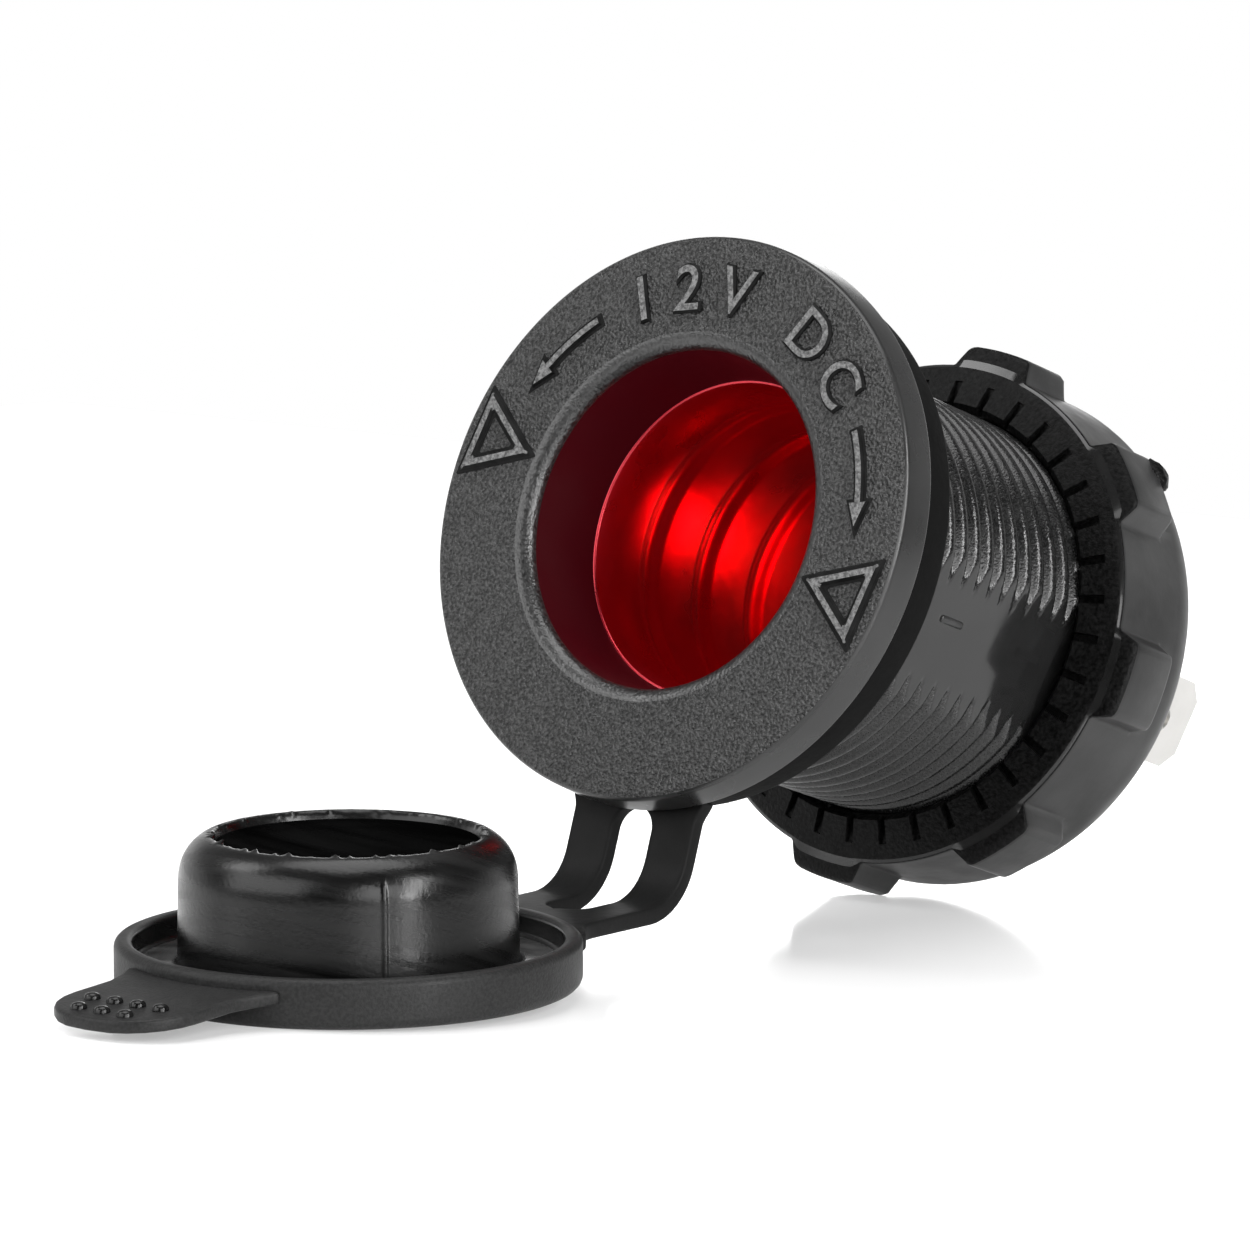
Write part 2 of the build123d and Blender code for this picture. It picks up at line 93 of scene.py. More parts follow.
LUG_FOOT_HALF = 10.0
LUG_TIP_ROUND = 1.6
LUG_FOOT_ROUND = 0.6
NOTCH_COUNT = 36
NOTCH_HALF = 0.25
NOTCH_DEPTH = 0.65
NOTCH_END = 16.18
NOTCH_TURN = 1.9
CAP_RADIUS = 14.5
CAP_RIM = 3.1
MOAT_RADIUS = 13.35
CAP_BASE = 1.5
PLUG_RADIUS = 10.6
PLUG_WAIST = 10.5
PLUG_SHOULDER = 6.75
PLUG_BULGE = 8.4
PLUG_BULGE_RADIUS = 10.06
PLUG_TIP = 9.5
PLUG_TIP_RADIUS = 8.85
PLUG_WALL = 1.3
PLUG_SEAM = 306.5
SEAM_HALF = 1.4
SEAM_HEIGHT = 0.06
CAP_CLOSED = -9.7
CAP_OPEN_ANGLE = 109.5
HINGE_Y = -6.04
HINGE_Z = -23.67
THREAD_PITCH = 1.5
THREAD_DEPTH = 0.55
MARK_LIFT = 0.27
# The feet are low, wider rims round the marks, dark as a painted shadow outline.
MARK_FOOT = 0.03
MARK_FOOT_WIDTH = 0.2
TRIANGLE_TIP = 12.55
TRIANGLE_BASE = 17.8
TRIANGLE_HALF = 2.95
ARROW_RADIUS = 15.3
ARROW_HALF = 0.3
ARROW_HEAD_HALF = 0.75
ARROW_START = 49.5
ARROW_NECK = 67.5
ARROW_TIP = 74.6
LETTER_SIZE = 4.4
LETTER_RADIUS = 13.75
LETTER_BEVEL = 0.15
LETTER_FOOT_WIDTH = 0.16
DASH_SIZE = (0.6, 2.5, 0.55)
DASH_PLACE = 9.1
DASH_SIDE = 0.9
DASH_SINK = 0.14
GATE_RADIUS = 18.5
GATE_PLACE = 26.6
GATE_TURN = 49.8
STRAP_PLACE = -2.5
STRAP_RAISE = 1.35
STRAP_BEND = 4.2
STRAP_BRIDGE = 5.6
STRAP_HALF = 5.0
STRAP_SLOT_HALF = 1.6
STRAP_THICKNESS = 1.1
TAB_RAISE = 1.5
TAB_THICKNESS = 0.8
TAB_DROOP = 3.8
TAB_HALF = 5.0
TAB_TIP = 23.7
TAB_ROUND = 4.4
TAB_FLARE = ((1.2, 13.2), (0.5, 14.6), (0.0, 16.2))
STUD_RADIUS = 0.52
STUD_HEIGHT = 0.45
# Rows of studs on the tab: how many, the first one's x, their spacing and their y in the cap's own frame.
STUD_ROWS = ((4, -2.8, 1.85, 20.1), (3, -1.9, 1.88, 22.2))


# Geometry helpers

def polar(radius, place, degrees):
    """A point in metres, at a radius and angle about the barrel's axis."""
    turn = math.radians(degrees)
    return Vector((radius * math.sin(turn), place, radius * math.cos(turn))) * MM


def smooth_step(low, high, value):
    """0 below low, 1 above high and a smooth rise between them."""
    share = min(max((value - low) / (high - low), 0.0), 1.0)
    return share * share * (3 - 2 * share)


def rounded(corners, steps=5):
    """An open profile of (a, b) points, from (a, b, round) corners."""
    points = []
    last = len(corners) - 1
    for index, (a, b, round_by) in enumerate(corners):
        here = Vector((a, b))
        if round_by == 0 or index in (0, last):
            points.append((a, b))
            continue
        before = (Vector(corners[index - 1][:2]) - here).normalized()
        after = (Vector(corners[index + 1][:2]) - here).normalized()
        half = before.angle(after) / 2
        reach = round_by / math.tan(half)
        start = here + before * reach
        end = here + after * reach
        centre = here + (before + after).normalized() * (round_by / math.sin(half))
        for step in range(steps + 1):
            share = step / steps
            chord = start.lerp(end, share) - centre
            point = centre + chord.normalized() * round_by
            points.append((point.x, point.y))
    return points


def add(name, data):
    """Put a mesh, lamp, curve or camera in the scene as an object."""
    obj = bpy.data.objects.new(name, data)
    bpy.context.scene.collection.objects.link(obj)
    return obj


def smooth(obj):
    """Shade all of an object's faces smoothly."""
    obj.data.polygons.foreach_set("use_smooth", [True] * len(obj.data.polygons))


def new_object(name, mesh, *coats):
    """Put a mesh in the scene as a smooth-shaded object with its finishes."""
    mesh.validate()
    obj = add(name, mesh)
    smooth(obj)
    for coat in coats:
        mesh.materials.append(coat)
    return obj


def worked_object(name, work, *coats):
    """Turn a worked mesh into an object."""
    mesh = bpy.data.meshes.new(name)
    work.to_mesh(mesh)
    work.free()
    return new_object(name, mesh, *coats)


def outward(mesh, merge=0.0000005):
    """Merge points that fall together and turn all faces one way, outwards where the mesh is closed."""
    work = bmesh.new()
    work.from_mesh(mesh)
    bmesh.ops.remove_doubles(work, verts=work.verts, dist=merge)
    bmesh.ops.recalc_face_normals(work, faces=work.faces)
    work.to_mesh(mesh)
    work.free()


def round_grid(name, rows, angles, point, coats, slots=None, wrap=False):
    """A closed skin about an axis: rows along the profile, one column for each angle.

    point(row, angle) gives a position, and slots the finish of each strip between two rows.
    Without wrap, the first and last rows are closed by fans.
    """
    vertices = [point(row, angle) for row in rows for angle in angles]
    count = len(angles)
    faces = []
    face_slots = []
    strips = len(rows) if wrap else len(rows) - 1
    for strip in range(strips):
        here = strip * count
        there = ((strip + 1) % len(rows)) * count
        for column in range(count):
            beside = (column + 1) % count
            faces.append((here + column, here + beside, there + beside, there + column))
            face_slots.append(slots[strip] if slots else 0)
    if not wrap:
        for first, strip in ((0, 0), ((len(rows) - 1) * count, strips - 1)):
            ring = vertices[first:first + count]
            middle = len(vertices)
            vertices.append(sum(ring, Vector()) / count)
            for column in range(count):
                faces.append((first + column, first + (column + 1) % count, middle))
                face_slots.append(slots[strip] if slots else 0)
    mesh = bpy.data.meshes.new(name)
    mesh.from_pydata(vertices, [], faces)
    mesh.polygons.foreach_set("material_index", face_slots)
    outward(mesh)
    return new_object(name, mesh, *coats)


def even_angles(count):
    """Angles spread evenly round a circle."""
    return [360 * step / count for step in range(count)]


def lathe(name, profile, coat):
    """A turned piece from (radius, place) points."""
    def point(row, degrees):
        return polar(*row, degrees)

    return round_grid(name, profile, even_angles(192), point, [coat], wrap=True)


def sharpen(obj, degrees):
    """Keep edges steeper than this as hard edges."""
    obj.data.set_sharp_from_angle(angle=math.radians(degrees))


def baked(obj):
    """Apply an object's modifiers to its mesh."""
    graph = bpy.context.evaluated_depsgraph_get()
    mesh = bpy.data.meshes.new_from_object(obj.evaluated_get(graph))
    obj.modifiers.clear()
    obj.data = mesh
    return obj


def united(first, second):
    """Join two closed pieces into one skin."""
    tool = first.modifiers.new("join", "BOOLEAN")
    tool.operation = "UNION"
    tool.solver = "EXACT"
    tool.object = second
    baked(first)
    bpy.data.objects.remove(second)
    return first


# Materials

def grey(tone):
    """A neutral colour."""
    return (tone, tone, tone)


def put(node, values):
    """Set inputs of a node by name."""
    for name, value in values.items():
        node.inputs[name].default_value = value


def main_shader(made):
    """A material's main shader."""
    return made.node_tree.nodes["Principled BSDF"]


def material(name, colour, roughness, metallic=0.0, shine=0.5):
    """A node material with its main shader set."""
    made = bpy.data.materials.new(name)
    made.use_nodes = True
    put(main_shader(made), {"Base Color": (*colour, 1), "Roughness": roughness, "Metallic": metallic,
                            "Specular IOR Level": shine})
    return made


def noise(made, scale, detail=3.0, rough=0.55):
    """A noise texture in the object's own metres."""
    texture = made.node_tree.nodes.new("ShaderNodeTexNoise")
    put(texture, {"Scale": scale, "Detail": detail, "Roughness": rough})
    place = made.node_tree.nodes.new("ShaderNodeTexCoord")
    made.node_tree.links.new(place.outputs["Object"], texture.inputs["Vector"])
    return texture


def along_cap(made, texture, scale):
    """Lay a texture along the open cap's own axes, with its own scale for each."""
    mapping = made.node_tree.nodes.new("ShaderNodeMapping")
    put(mapping, {"Rotation": (math.radians(90 - CAP_OPEN_ANGLE), 0, 0), "Scale": scale})
    source = texture.inputs["Vector"].links[0].from_socket
    made.node_tree.links.new(source, mapping.inputs["Vector"])
    made.node_tree.links.new(mapping.outputs["Vector"], texture.inputs["Vector"])


def map_range(nodes, start, end, low, high):
    """A node that takes values from one range to another."""
    scaler = nodes.new("ShaderNodeMapRange")
    put(scaler, {"From Min": start, "From Max": end, "To Min": low, "To Max": high})
    return scaler


def gloss(made, texture, low, high):
    """Vary the roughness with a texture, between two values."""
    scaler = map_range(made.node_tree.nodes, 0.3, 0.7, low, high)
    made.node_tree.links.new(texture.outputs["Fac"], scaler.inputs["Value"])
    made.node_tree.links.new(scaler.outputs["Result"], main_shader(made).inputs["Roughness"])


def tint(made, texture, dark, light):
    """Vary the colour with a texture, between two colours."""
    ramp = made.node_tree.nodes.new("ShaderNodeValToRGB")
    for stop, position, colour in zip(ramp.color_ramp.elements, (0.35, 0.65), (dark, light)):
        stop.position = position
        stop.color = (*colour, 1)
    made.node_tree.links.new(texture.outputs["Fac"], ramp.inputs["Fac"])
    made.node_tree.links.new(ramp.outputs["Color"], main_shader(made).inputs["Base Color"])


def relief(made, texture, height, strength):
    """Add bump from a texture, on top of any bump that is there."""
    bump = made.node_tree.nodes.new("ShaderNodeBump")
    put(bump, {"Distance": height, "Strength": strength})
    made.node_tree.links.new(texture.outputs["Fac"], bump.inputs["Height"])
    normal = main_shader(made).inputs["Normal"]
    if normal.links:
        made.node_tree.links.new(normal.links[0].from_socket, bump.inputs["Normal"])
    made.node_tree.links.new(bump.outputs["Normal"], normal)


def grained_plastic():
    """The flange's face: black, with a fine spark-eroded grain."""
    made = material("grained plastic", grey(0.02), 0.42)
    grain = noise(made, 4800, 1.0, 0.5)
    relief(made, grain, 0.0004, 1.0)
    gloss(made, noise(made, 500), 0.38, 0.5)
    tint(made, grain, grey(0.004), grey(0.06))
    return made


def smooth_plastic():
    """Moulded black plastic with a glossy skin and faint flow marks."""
    made = material("smooth plastic", grey(0.02), 0.25)
    relief(made, noise(made, 700, 4.0), 0.00003, 0.3)
    gloss(made, noise(made, 240), 0.2, 0.36)
    tint(made, noise(made, 110), grey(0.015), grey(0.026))
    return made


def painted_light_plastic():
    """The tops of the raised marks: with the same grain as the face, but paler, a painted highlight of the
    light that falls on them.
    """
    made = material("worn plastic", grey(0.08), 0.45)
    grain = noise(made, 4800, 1.0, 0.5)
    relief(made, grain, 0.00015, 1.0)
    gloss(made, noise(made, 500), 0.4, 0.5)
    tint(made, grain, grey(0.06), grey(0.2))
    return made


def shaded_plastic():
    """The walls of the raised marks: dull and dark, with painted shade."""
    made = material("shaded plastic", grey(0.004), 0.6, shine=0.12)
    gloss(made, noise(made, 600), 0.5, 0.7)
    tint(made, noise(made, 900), grey(0.002), grey(0.008))
    return made


def satin_plastic():
    """The nut's outside: black with a satin skin and fine rubbing marks."""
    made = material("satin plastic", grey(0.02), 0.4, shine=0.4)
    relief(made, noise(made, 900, 4.0), 0.00004, 0.4)
    gloss(made, noise(made, 260, 4.0), 0.32, 0.5)
    tint(made, noise(made, 140, 4.0), grey(0.014), grey(0.034))
    return made


def thread_plastic():
    """The barrel's thread: bright crests and a sparkling eroded grain between them."""
    made = material("thread plastic", grey(0.012), 0.2)
    grain = noise(made, 6500, 1.0)
    relief(made, grain, 0.00003, 0.8)
    gloss(made, noise(made, 400), 0.15, 0.28)
    tint(made, grain, grey(0.006), grey(0.022))
    return made


def polished_plastic():
    """The barrel's flats and the nut's front edge: a mirror-like moulded skin."""
    made = material("polished plastic", grey(0.014), 0.1)
    relief(made, noise(made, 350), 0.00003, 0.25)
    gloss(made, noise(made, 300), 0.07, 0.16)
    tint(made, noise(made, 120), grey(0.01), grey(0.02))
    return made


def rough_shaded_plastic():
    """The nut's front face: dull, with a coarse but shallow eroded grain, and nearly black with painted
    shade.
    """
    made = material("rough plastic", grey(0.003), 0.45, shine=0.12)
    grain = noise(made, 3600, 2.0)
    relief(made, grain, 0.00008, 1.0)
    gloss(made, noise(made, 300), 0.36, 0.52)
    # Painted shade: this tint is far darker than the nut's outside.
    tint(made, grain, grey(0.0005), grey(0.007))
    return made


def lip_plastic():
    """The rolled lip of the mouth: the face's grain, rubbed smooth by plugs."""
    made = material("lip plastic", grey(0.014), 0.3, shine=0.75)
    grain = noise(made, 4800, 1.0, 0.5)
    relief(made, grain, 0.00005, 1.0)
    gloss(made, noise(made, 500), 0.26, 0.36)
    tint(made, grain, grey(0.004), grey(0.03))
    return made


def matt_rubber(name, shine, tone):
    """Soft black rubber with a dull skin."""
    made = material(name, grey(tone), 0.55, shine=shine)
    relief(made, noise(made, 1700, 4.0), 0.00005, 0.6)
    gloss(made, noise(made, 170), 0.48, 0.64)
    tint(made, noise(made, 80), grey(tone), grey(tone * 1.8))
    return made


def satin_rubber():
    """The cap's rubber, moulded against a polished die, with flow streaks round it."""
    made = material("satin rubber", grey(0.008), 0.3, shine=0.38)
    flow = noise(made, 1.0, 3.0)
    along_cap(made, flow, (70, 70, 1100))
    relief(made, flow, 0.00004, 0.35)
    relief(made, noise(made, 3000, 2.0), 0.00003, 0.5)
    gloss(made, flow, 0.2, 0.34)
    tint(made, flow, grey(0.002), grey(0.009))
    return made


def fine_rubber():
    """The cap's rim and tab: dull rubber with a fine grain."""
    made = material("fine rubber", grey(0.016), 0.5, shine=0.25)
    grain = noise(made, 5200, 2.0)
    relief(made, grain, 0.00004, 0.8)
    gloss(made, noise(made, 250), 0.42, 0.56)
    tint(made, grain, grey(0.012), grey(0.023))
    return made


def moat_reflection_rubber():
    """The cap's moat: glossy rubber, paler than the rest of the cap as a painted reflection of the white
    backdrop.
    """
    made = material("bloomed rubber", grey(0.08), 0.25)
    relief(made, noise(made, 1500, 3.0), 0.00003, 0.1)
    gloss(made, noise(made, 300), 0.1, 0.18)
    # Painted reflection: the pale tint stands for the white backdrop mirrored in the moat.
    tint(made, noise(made, 330, 4.0), grey(0.03), grey(0.13))
    return made


def red_lens():
    """The light ring: deep red plastic, faintly lit from behind."""
    made = material("red lens", (0.02, 0.001, 0.002), 0.45, shine=0.15)
    put(main_shader(made), {"Emission Color": (1.0, 0.005, 0.06, 1), "Emission Strength": 0.02})
    relief(made, noise(made, 600), 0.00002, 0.3)
    gloss(made, noise(made, 200), 0.4, 0.55)
    return made


def plated_steel():
    """Bright drawn metal with draw marks and a slight wave. Its red tint and faint red glow are painted light
    from the ring's red light; the steel itself is neutral.
    """
    made = material("plated steel", (0.5, 0.03, 0.045), 0.36, 1.0)
    # Painted light: the red emission makes the sleeve glow, though it is no lamp.
    put(main_shader(made), {"Emission Color": (1.0, 0.0, 0.01, 1), "Emission Strength": 0.035,
                            "Coat Weight": 0.35, "Coat Roughness": 0.15})
    relief(made, noise(made, 95, 2.0), 0.0006, 0.6)
    relief(made, noise(made, 260, 4.0), 0.00008, 0.6)
    gloss(made, noise(made, 150), 0.22, 0.4)
    return made


def plain_metal(name, colour):
    """Stamped contact metal with a dull, slightly mottled surface."""
    made = material(name, colour, 0.35, 1.0)
    gloss(made, noise(made, 500), 0.28, 0.5)
    relief(made, noise(made, 1200), 0.00003, 0.4)
    return made


def dull(name, colour):
    """Board, fibre or glaze: a plain insulating surface with fine mottling."""
    made = material(name, colour, 0.55)
    light = tuple(min(1.0, part * 1.35) for part in colour)
    tint(made, noise(made, 900), colour, light)
    gloss(made, noise(made, 400), 0.45, 0.65)
    return made


# Pieces

def flat_limit(degrees):
    """The body's radius where a flat crosses this angle."""
    limit = 100.0
    for middle in (90.0, 270.0):
        off = math.radians((degrees - BODY_TURN - middle + 180) % 360 - 180)
        if abs(off) < math.radians(60):
            limit = min(limit, BARREL_FLAT / math.cos(off))
    return limit


def thread_radius(degrees, place):
    """The threaded barrel's radius: a right-handed thread, cut short by the two flats."""
    share = (place / THREAD_PITCH - degrees / 360) % 1
    rise = min(max((abs(2 * share - 1) - 0.1) / 0.85, 0.0), 1.0)
    fade = smooth_step(0.1, 1.2, place) * smooth_step(BARREL_END - 0.3, BARREL_END - 1.8, place)
    cut = BARREL_RADIUS - THREAD_DEPTH * (1 - rise) ** 2 * fade
    return min(cut, flat_limit(degrees))


def polish_flats(body, slot):
    """Give the faces that lie in the two flats their own finish."""
    turn = math.radians(90 + BODY_TURN)
    across = Vector((math.sin(turn), 0, math.cos(turn)))
    for face in body.data.polygons:
        behind_ring = face.center.y > 0
        if behind_ring and abs(abs(face.center.dot(across)) / MM - BARREL_FLAT) < 0.01:
            face.material_index = slot


def make_body(grain, plain, threaded, polished, lip):
    """The flange and the barrel: rows of (kind, radius, place) from the barrel's end, round the mouth."""
    rows = [("rim", BARREL_RADIUS - END_CHAMFER, BARREL_END)]
    place = BARREL_END - END_CHAMFER
    while place > FLANGE_BACK:
        rows.append(("thread", BARREL_RADIUS, place))
        place -= THREAD_PITCH / 12
    lip_edge = MOUTH_RADIUS + LIP_WIDTH
    outside = rounded([
        (BARREL_RADIUS, FLANGE_BACK, 0), (FLANGE_RADIUS, FLANGE_BACK, 0.25), (FACE_RADIUS, FACE, 0.5),
        (lip_edge, FACE, 0)], 7)
    for step in range(1, 15):
        turn = math.radians(90 * step / 14)
        depth = LIP_DEPTH * (1 - math.cos(turn))
        outside.append((lip_edge - LIP_WIDTH * math.sin(turn), FACE + depth))
    outside += [(MOUTH_RADIUS, LIGHT_RING_FRONT), (BODY_BORE_RADIUS, LIGHT_RING_FRONT),
                (BODY_BORE_RADIUS, WALL_FRONT), (3.0, WALL_FRONT)]
    rows += [("plain", radius, place) for radius, place in outside]
    slots = []
    for kind, radius, place in rows[:-1]:
        in_front = place < FACE + 0.9 and kind == "plain" and radius < FACE_RADIUS - 0.1
        on_lip = in_front and radius < lip_edge - 0.01
        slots.append(4 if on_lip else 0 if in_front else 2 if kind == "thread" else 1)

    def point(row, degrees):
        kind, radius, place = row
        if kind == "thread":
            return polar(thread_radius(degrees, place), place, degrees)
        if kind == "rim":
            return polar(min(radius, flat_limit(degrees)), place, degrees)
        return polar(radius, place, degrees)

    coats = (grain, plain, threaded, polished, lip)
    body = round_grid("body_shell", rows, even_angles(240), point, coats, slots)
    polish_flats(body, 3)
    sharpen(body, 50)
    return body


def on_face(across, out, lift, degrees):
    """A point on the flange's face: across and out from the axis at an angle, lifted to the front."""
    turn = math.radians(degrees + BODY_TURN)
    x = out * math.sin(turn) + across * math.cos(turn)
    z = out * math.cos(turn) - across * math.sin(turn)
    return Vector((x, FACE - lift, z)) * MM


def inset(outline, by):
    """A closed outline moved inwards, with its points in clockwise order."""
    moved = []
    for index, point in enumerate(outline):
        here = Vector(point)
        ahead = (Vector(outline[(index + 1) % len(outline)]) - here).normalized()
        behind = (here - Vector(outline[index - 1])).normalized()
        across = Vector((ahead.y + behind.y, -ahead.x - behind.x)).normalized()
        lean = max(0.35, across.dot(Vector((ahead.y, -ahead.x))))
        moved.append(tuple(here + across * by / lean))
    return moved


def raise_shape(work, rings, closed):
    """Skin (outline, lift) rings on the face; closed joins the last to the first, else both ends get lids."""
    rows = []
    for outline, lift in rings:
        rows.append([work.verts.new(on_face(x, y, lift, 0)) for x, y in outline])
    pairs = list(zip(rows, rows[1:]))
    if closed:
        pairs.append((rows[-1], rows[0]))
    else:
        work.faces.new(rows[0])
        work.faces.new(rows[-1])
    for lower, upper in pairs:
        for index in range(len(lower)):
            beside = (index + 1) % len(lower)
            work.faces.new((lower[index], lower[beside], upper[beside], upper[index]))


def round_corners(corners, by):
    """A closed outline with each corner rounded."""
    doubled = [corners[-1]] + corners + [corners[0]]
    return rounded([(x, y, by) for x, y in doubled], 4)[1:-1]


def triangle_rings(side):
    """A hollow triangle with its tip towards the mouth: rings of one triangle at several sizes."""
    corners = [Vector((0, TRIANGLE_TIP)), Vector((-TRIANGLE_HALF, TRIANGLE_BASE)),
               Vector((TRIANGLE_HALF, TRIANGLE_BASE))]
    edges = [(corners[index - 1] - corners[index - 2]).length for index in range(3)]
    middle = sum((corner * edge for corner, edge in zip(corners, edges)), Vector((0, 0))) / sum(edges)
    reach = TRIANGLE_BASE - middle.y

    def ring(inset_by):
        grown = [middle + (corner - middle) * (1 - inset_by / reach) for corner in corners]
        return round_corners([(side * point.y, -side * point.x) for point in grown], 0.12)

    steps = [(-MARK_FOOT_WIDTH, -0.1), (-MARK_FOOT_WIDTH, MARK_FOOT), (0.0, 2 * MARK_FOOT),
             (0.08, MARK_LIFT - 0.08), (0.18, MARK_LIFT), (0.58, MARK_LIFT), (0.68, MARK_LIFT - 0.08),
             (0.76, 2 * MARK_FOOT), (0.94, MARK_FOOT), (0.94, -0.1)]
    return [(ring(inset_by), lift) for inset_by, lift in steps]


def arrow_rings(side):
    """A bent arrow that follows the flange, with its head towards the triangle."""
    def placed(radius, degrees):
        turn = math.radians(side * degrees)
        return (radius * math.sin(turn), radius * math.cos(turn))

    turns = [ARROW_START + (ARROW_NECK - ARROW_START) * step / 6 for step in range(7)]
    outline = [placed(ARROW_RADIUS + ARROW_HALF, degrees) for degrees in turns]
    outline += [placed(ARROW_RADIUS + ARROW_HEAD_HALF, ARROW_NECK), placed(ARROW_RADIUS, ARROW_TIP),
                placed(ARROW_RADIUS - ARROW_HEAD_HALF, ARROW_NECK)]
    outline += [placed(ARROW_RADIUS - ARROW_HALF, degrees) for degrees in reversed(turns)]
    if side < 0:
        outline.reverse()
    steps = [(-MARK_FOOT_WIDTH, -0.1), (-MARK_FOOT_WIDTH, MARK_FOOT), (0.0, 2 * MARK_FOOT),
             (0.04, MARK_LIFT - 0.08), (0.09, MARK_LIFT)]
    return [(inset(outline, inset_by), lift) for inset_by, lift in steps]


def raised_object(name, work, top, wall):
    """An object of raised marks, with one finish on their tops, paler as painted light, and another on their
    walls and feet, dark as painted shade.
    """
    raised = worked_object(name, work, top, wall)
    for face in raised.data.polygons:
        # Top faces that face forwards get painted light; the walls and feet get painted shade.
        painted_light_top = face.normal.y < -0.8 and face.center.y < (FACE - MARK_LIFT * 0.7) * MM
        face.material_index = 0 if painted_light_top else 1
    sharpen(raised, 30)
    return raised


def make_marks(top, wall):
    """Raised signs on the flange: two hollow triangles and two turning arrows."""
    work = bmesh.new()
    for side in (-1, 1):
        raise_shape(work, triangle_rings(side), True)
        raise_shape(work, arrow_rings(side), False)
    bmesh.ops.recalc_face_normals(work, faces=work.faces)
    return raised_object("face_marks", work, top, wall)


def letter_mesh(letter, height, bevel, grow):
    """One letter as a mesh in millimetres, centred on its own plane and rising to a height."""
    shape = bpy.data.curves.new("letter", "FONT")
    shape.body = letter
    shape.size = LETTER_SIZE
    shape.extrude = height - bevel
    shape.bevel_depth = bevel
    shape.bevel_resolution = 0
    shape.offset = grow
    shape.resolution_u = 6
    shape.align_x = "CENTER"
    obj = add("letter", shape)
    graph = bpy.context.evaluated_depsgraph_get()
    mesh = bpy.data.meshes.new_from_object(obj.evaluated_get(graph))
    bpy.data.objects.remove(obj)
    return mesh


def make_letters(top, wall):
    """A raised rating along the top of the flange, each letter with a low, wider foot that is dark as a
    painted shadow outline.
    """
    work = bmesh.new()
    for letter, degrees in (("1", -36), ("2", -22), ("V", -7), ("D", 20), ("C", 36)):
        body = letter_mesh(letter, MARK_LIFT, LETTER_BEVEL, 0.02)
        foot = letter_mesh(letter, MARK_FOOT, 0.0, LETTER_FOOT_WIDTH)
        for mesh in (body, foot):
            for vertex in mesh.vertices:
                across, up, lift = vertex.co
                vertex.co = on_face(across, LETTER_RADIUS + up, lift, degrees)
            work.from_mesh(mesh)
    bmesh.ops.remove_doubles(work, verts=work.verts, dist=0.000002)
    return raised_object("face_rating", work, top, wall)


def make_dash(coat):
    """A low moulded dash on the barrel's right flat."""
    work = bmesh.new()
    bmesh.ops.create_cube(work, size=1.0)
    bmesh.ops.scale(work, verts=work.verts, vec=DASH_SIZE)
    bmesh.ops.bevel(work, geom=work.edges[:], offset=0.2, segments=3, profile=0.5, affect="EDGES")
    turn = Matrix.Rotation(math.radians(BODY_TURN), 3, "Y")
    middle = Vector((BARREL_FLAT - DASH_SINK, DASH_PLACE, DASH_SIDE))
    for vertex in work.verts:
        vertex.co = turn @ (vertex.co + middle) * MM
    return worked_object("flat_dash", work, coat)


def make_gasket(coat):
    """The rubber ring behind the flange."""
    corners = [(RING_BORE, -1.8, 0), (RING_BORE, FLANGE_BACK, 0.1), (RING_RADIUS, FLANGE_BACK, 0.3),
               (RING_RADIUS, 0, 0.35), (RING_BORE, 0, 0.1), (RING_BORE, -1.8, 0)]
    return lathe("gasket_skin", rounded(corners)[:-1], coat)


def make_light_ring(coat):
    """The red ring between the mouth and the sleeve, tapering inwards to its rear."""
    profile = [(MOUTH_RADIUS, LIGHT_RING_FRONT), (LIGHT_RING_OUTER, LIGHT_RING_FRONT),
               (LIGHT_RING_OUTER, SLEEVE_FRONT), (LIGHT_RING_REAR, SLEEVE_FRONT)]
    ring = lathe("light_ring_skin", profile, coat)
    sharpen(ring, 30)
    return ring


def sleeve_side(radius, start, end):
    """A straight wall with its rolled beads, from start to end."""
    points = [(radius, start)]
    for bead in SLEEVE_BEADS:
        for step in range(-8, 9):
            off = step / 8
            rise = BEAD_HEIGHT * (0.5 + 0.5 * math.cos(math.pi * off))
            points.append((radius + rise, bead + off * BEAD_WIDTH / 2))
    points.append((radius, end))
    return points


def make_sleeve(coat):
    """The drawn metal cup: a beaded wall, a narrower neck and a floor with a hole in it."""
    inner_neck = SLEEVE_RADIUS - NECK_STEP
    inside = rounded([(SLEEVE_RADIUS, 26.0, 0), (SLEEVE_RADIUS, NECK_FRONT - SLEEVE_WALL, 0.6),
                      (inner_neck, NECK_FRONT - SLEEVE_WALL + NECK_STEP, 0.6), (inner_neck, FLOOR_FRONT, 0.6),
                      (FLOOR_HOLE_RADIUS, FLOOR_FRONT, 0)])
    outside = [(FLOOR_HOLE_RADIUS, WALL_FRONT), (inner_neck + SLEEVE_WALL, WALL_FRONT),
               (inner_neck + SLEEVE_WALL, NECK_FRONT + NECK_STEP), (SLEEVE_RADIUS + SLEEVE_WALL, NECK_FRONT)]
    profile = sleeve_side(SLEEVE_RADIUS, SLEEVE_FRONT + 0.1, 25.0) + inside + outside
    profile += reversed(sleeve_side(SLEEVE_RADIUS + SLEEVE_WALL, SLEEVE_FRONT, 25.0))
    profile.append((SLEEVE_RADIUS + 0.1, SLEEVE_FRONT))
    sleeve = lathe("sleeve_skin", profile, coat)
    sharpen(sleeve, 50)
    return sleeve


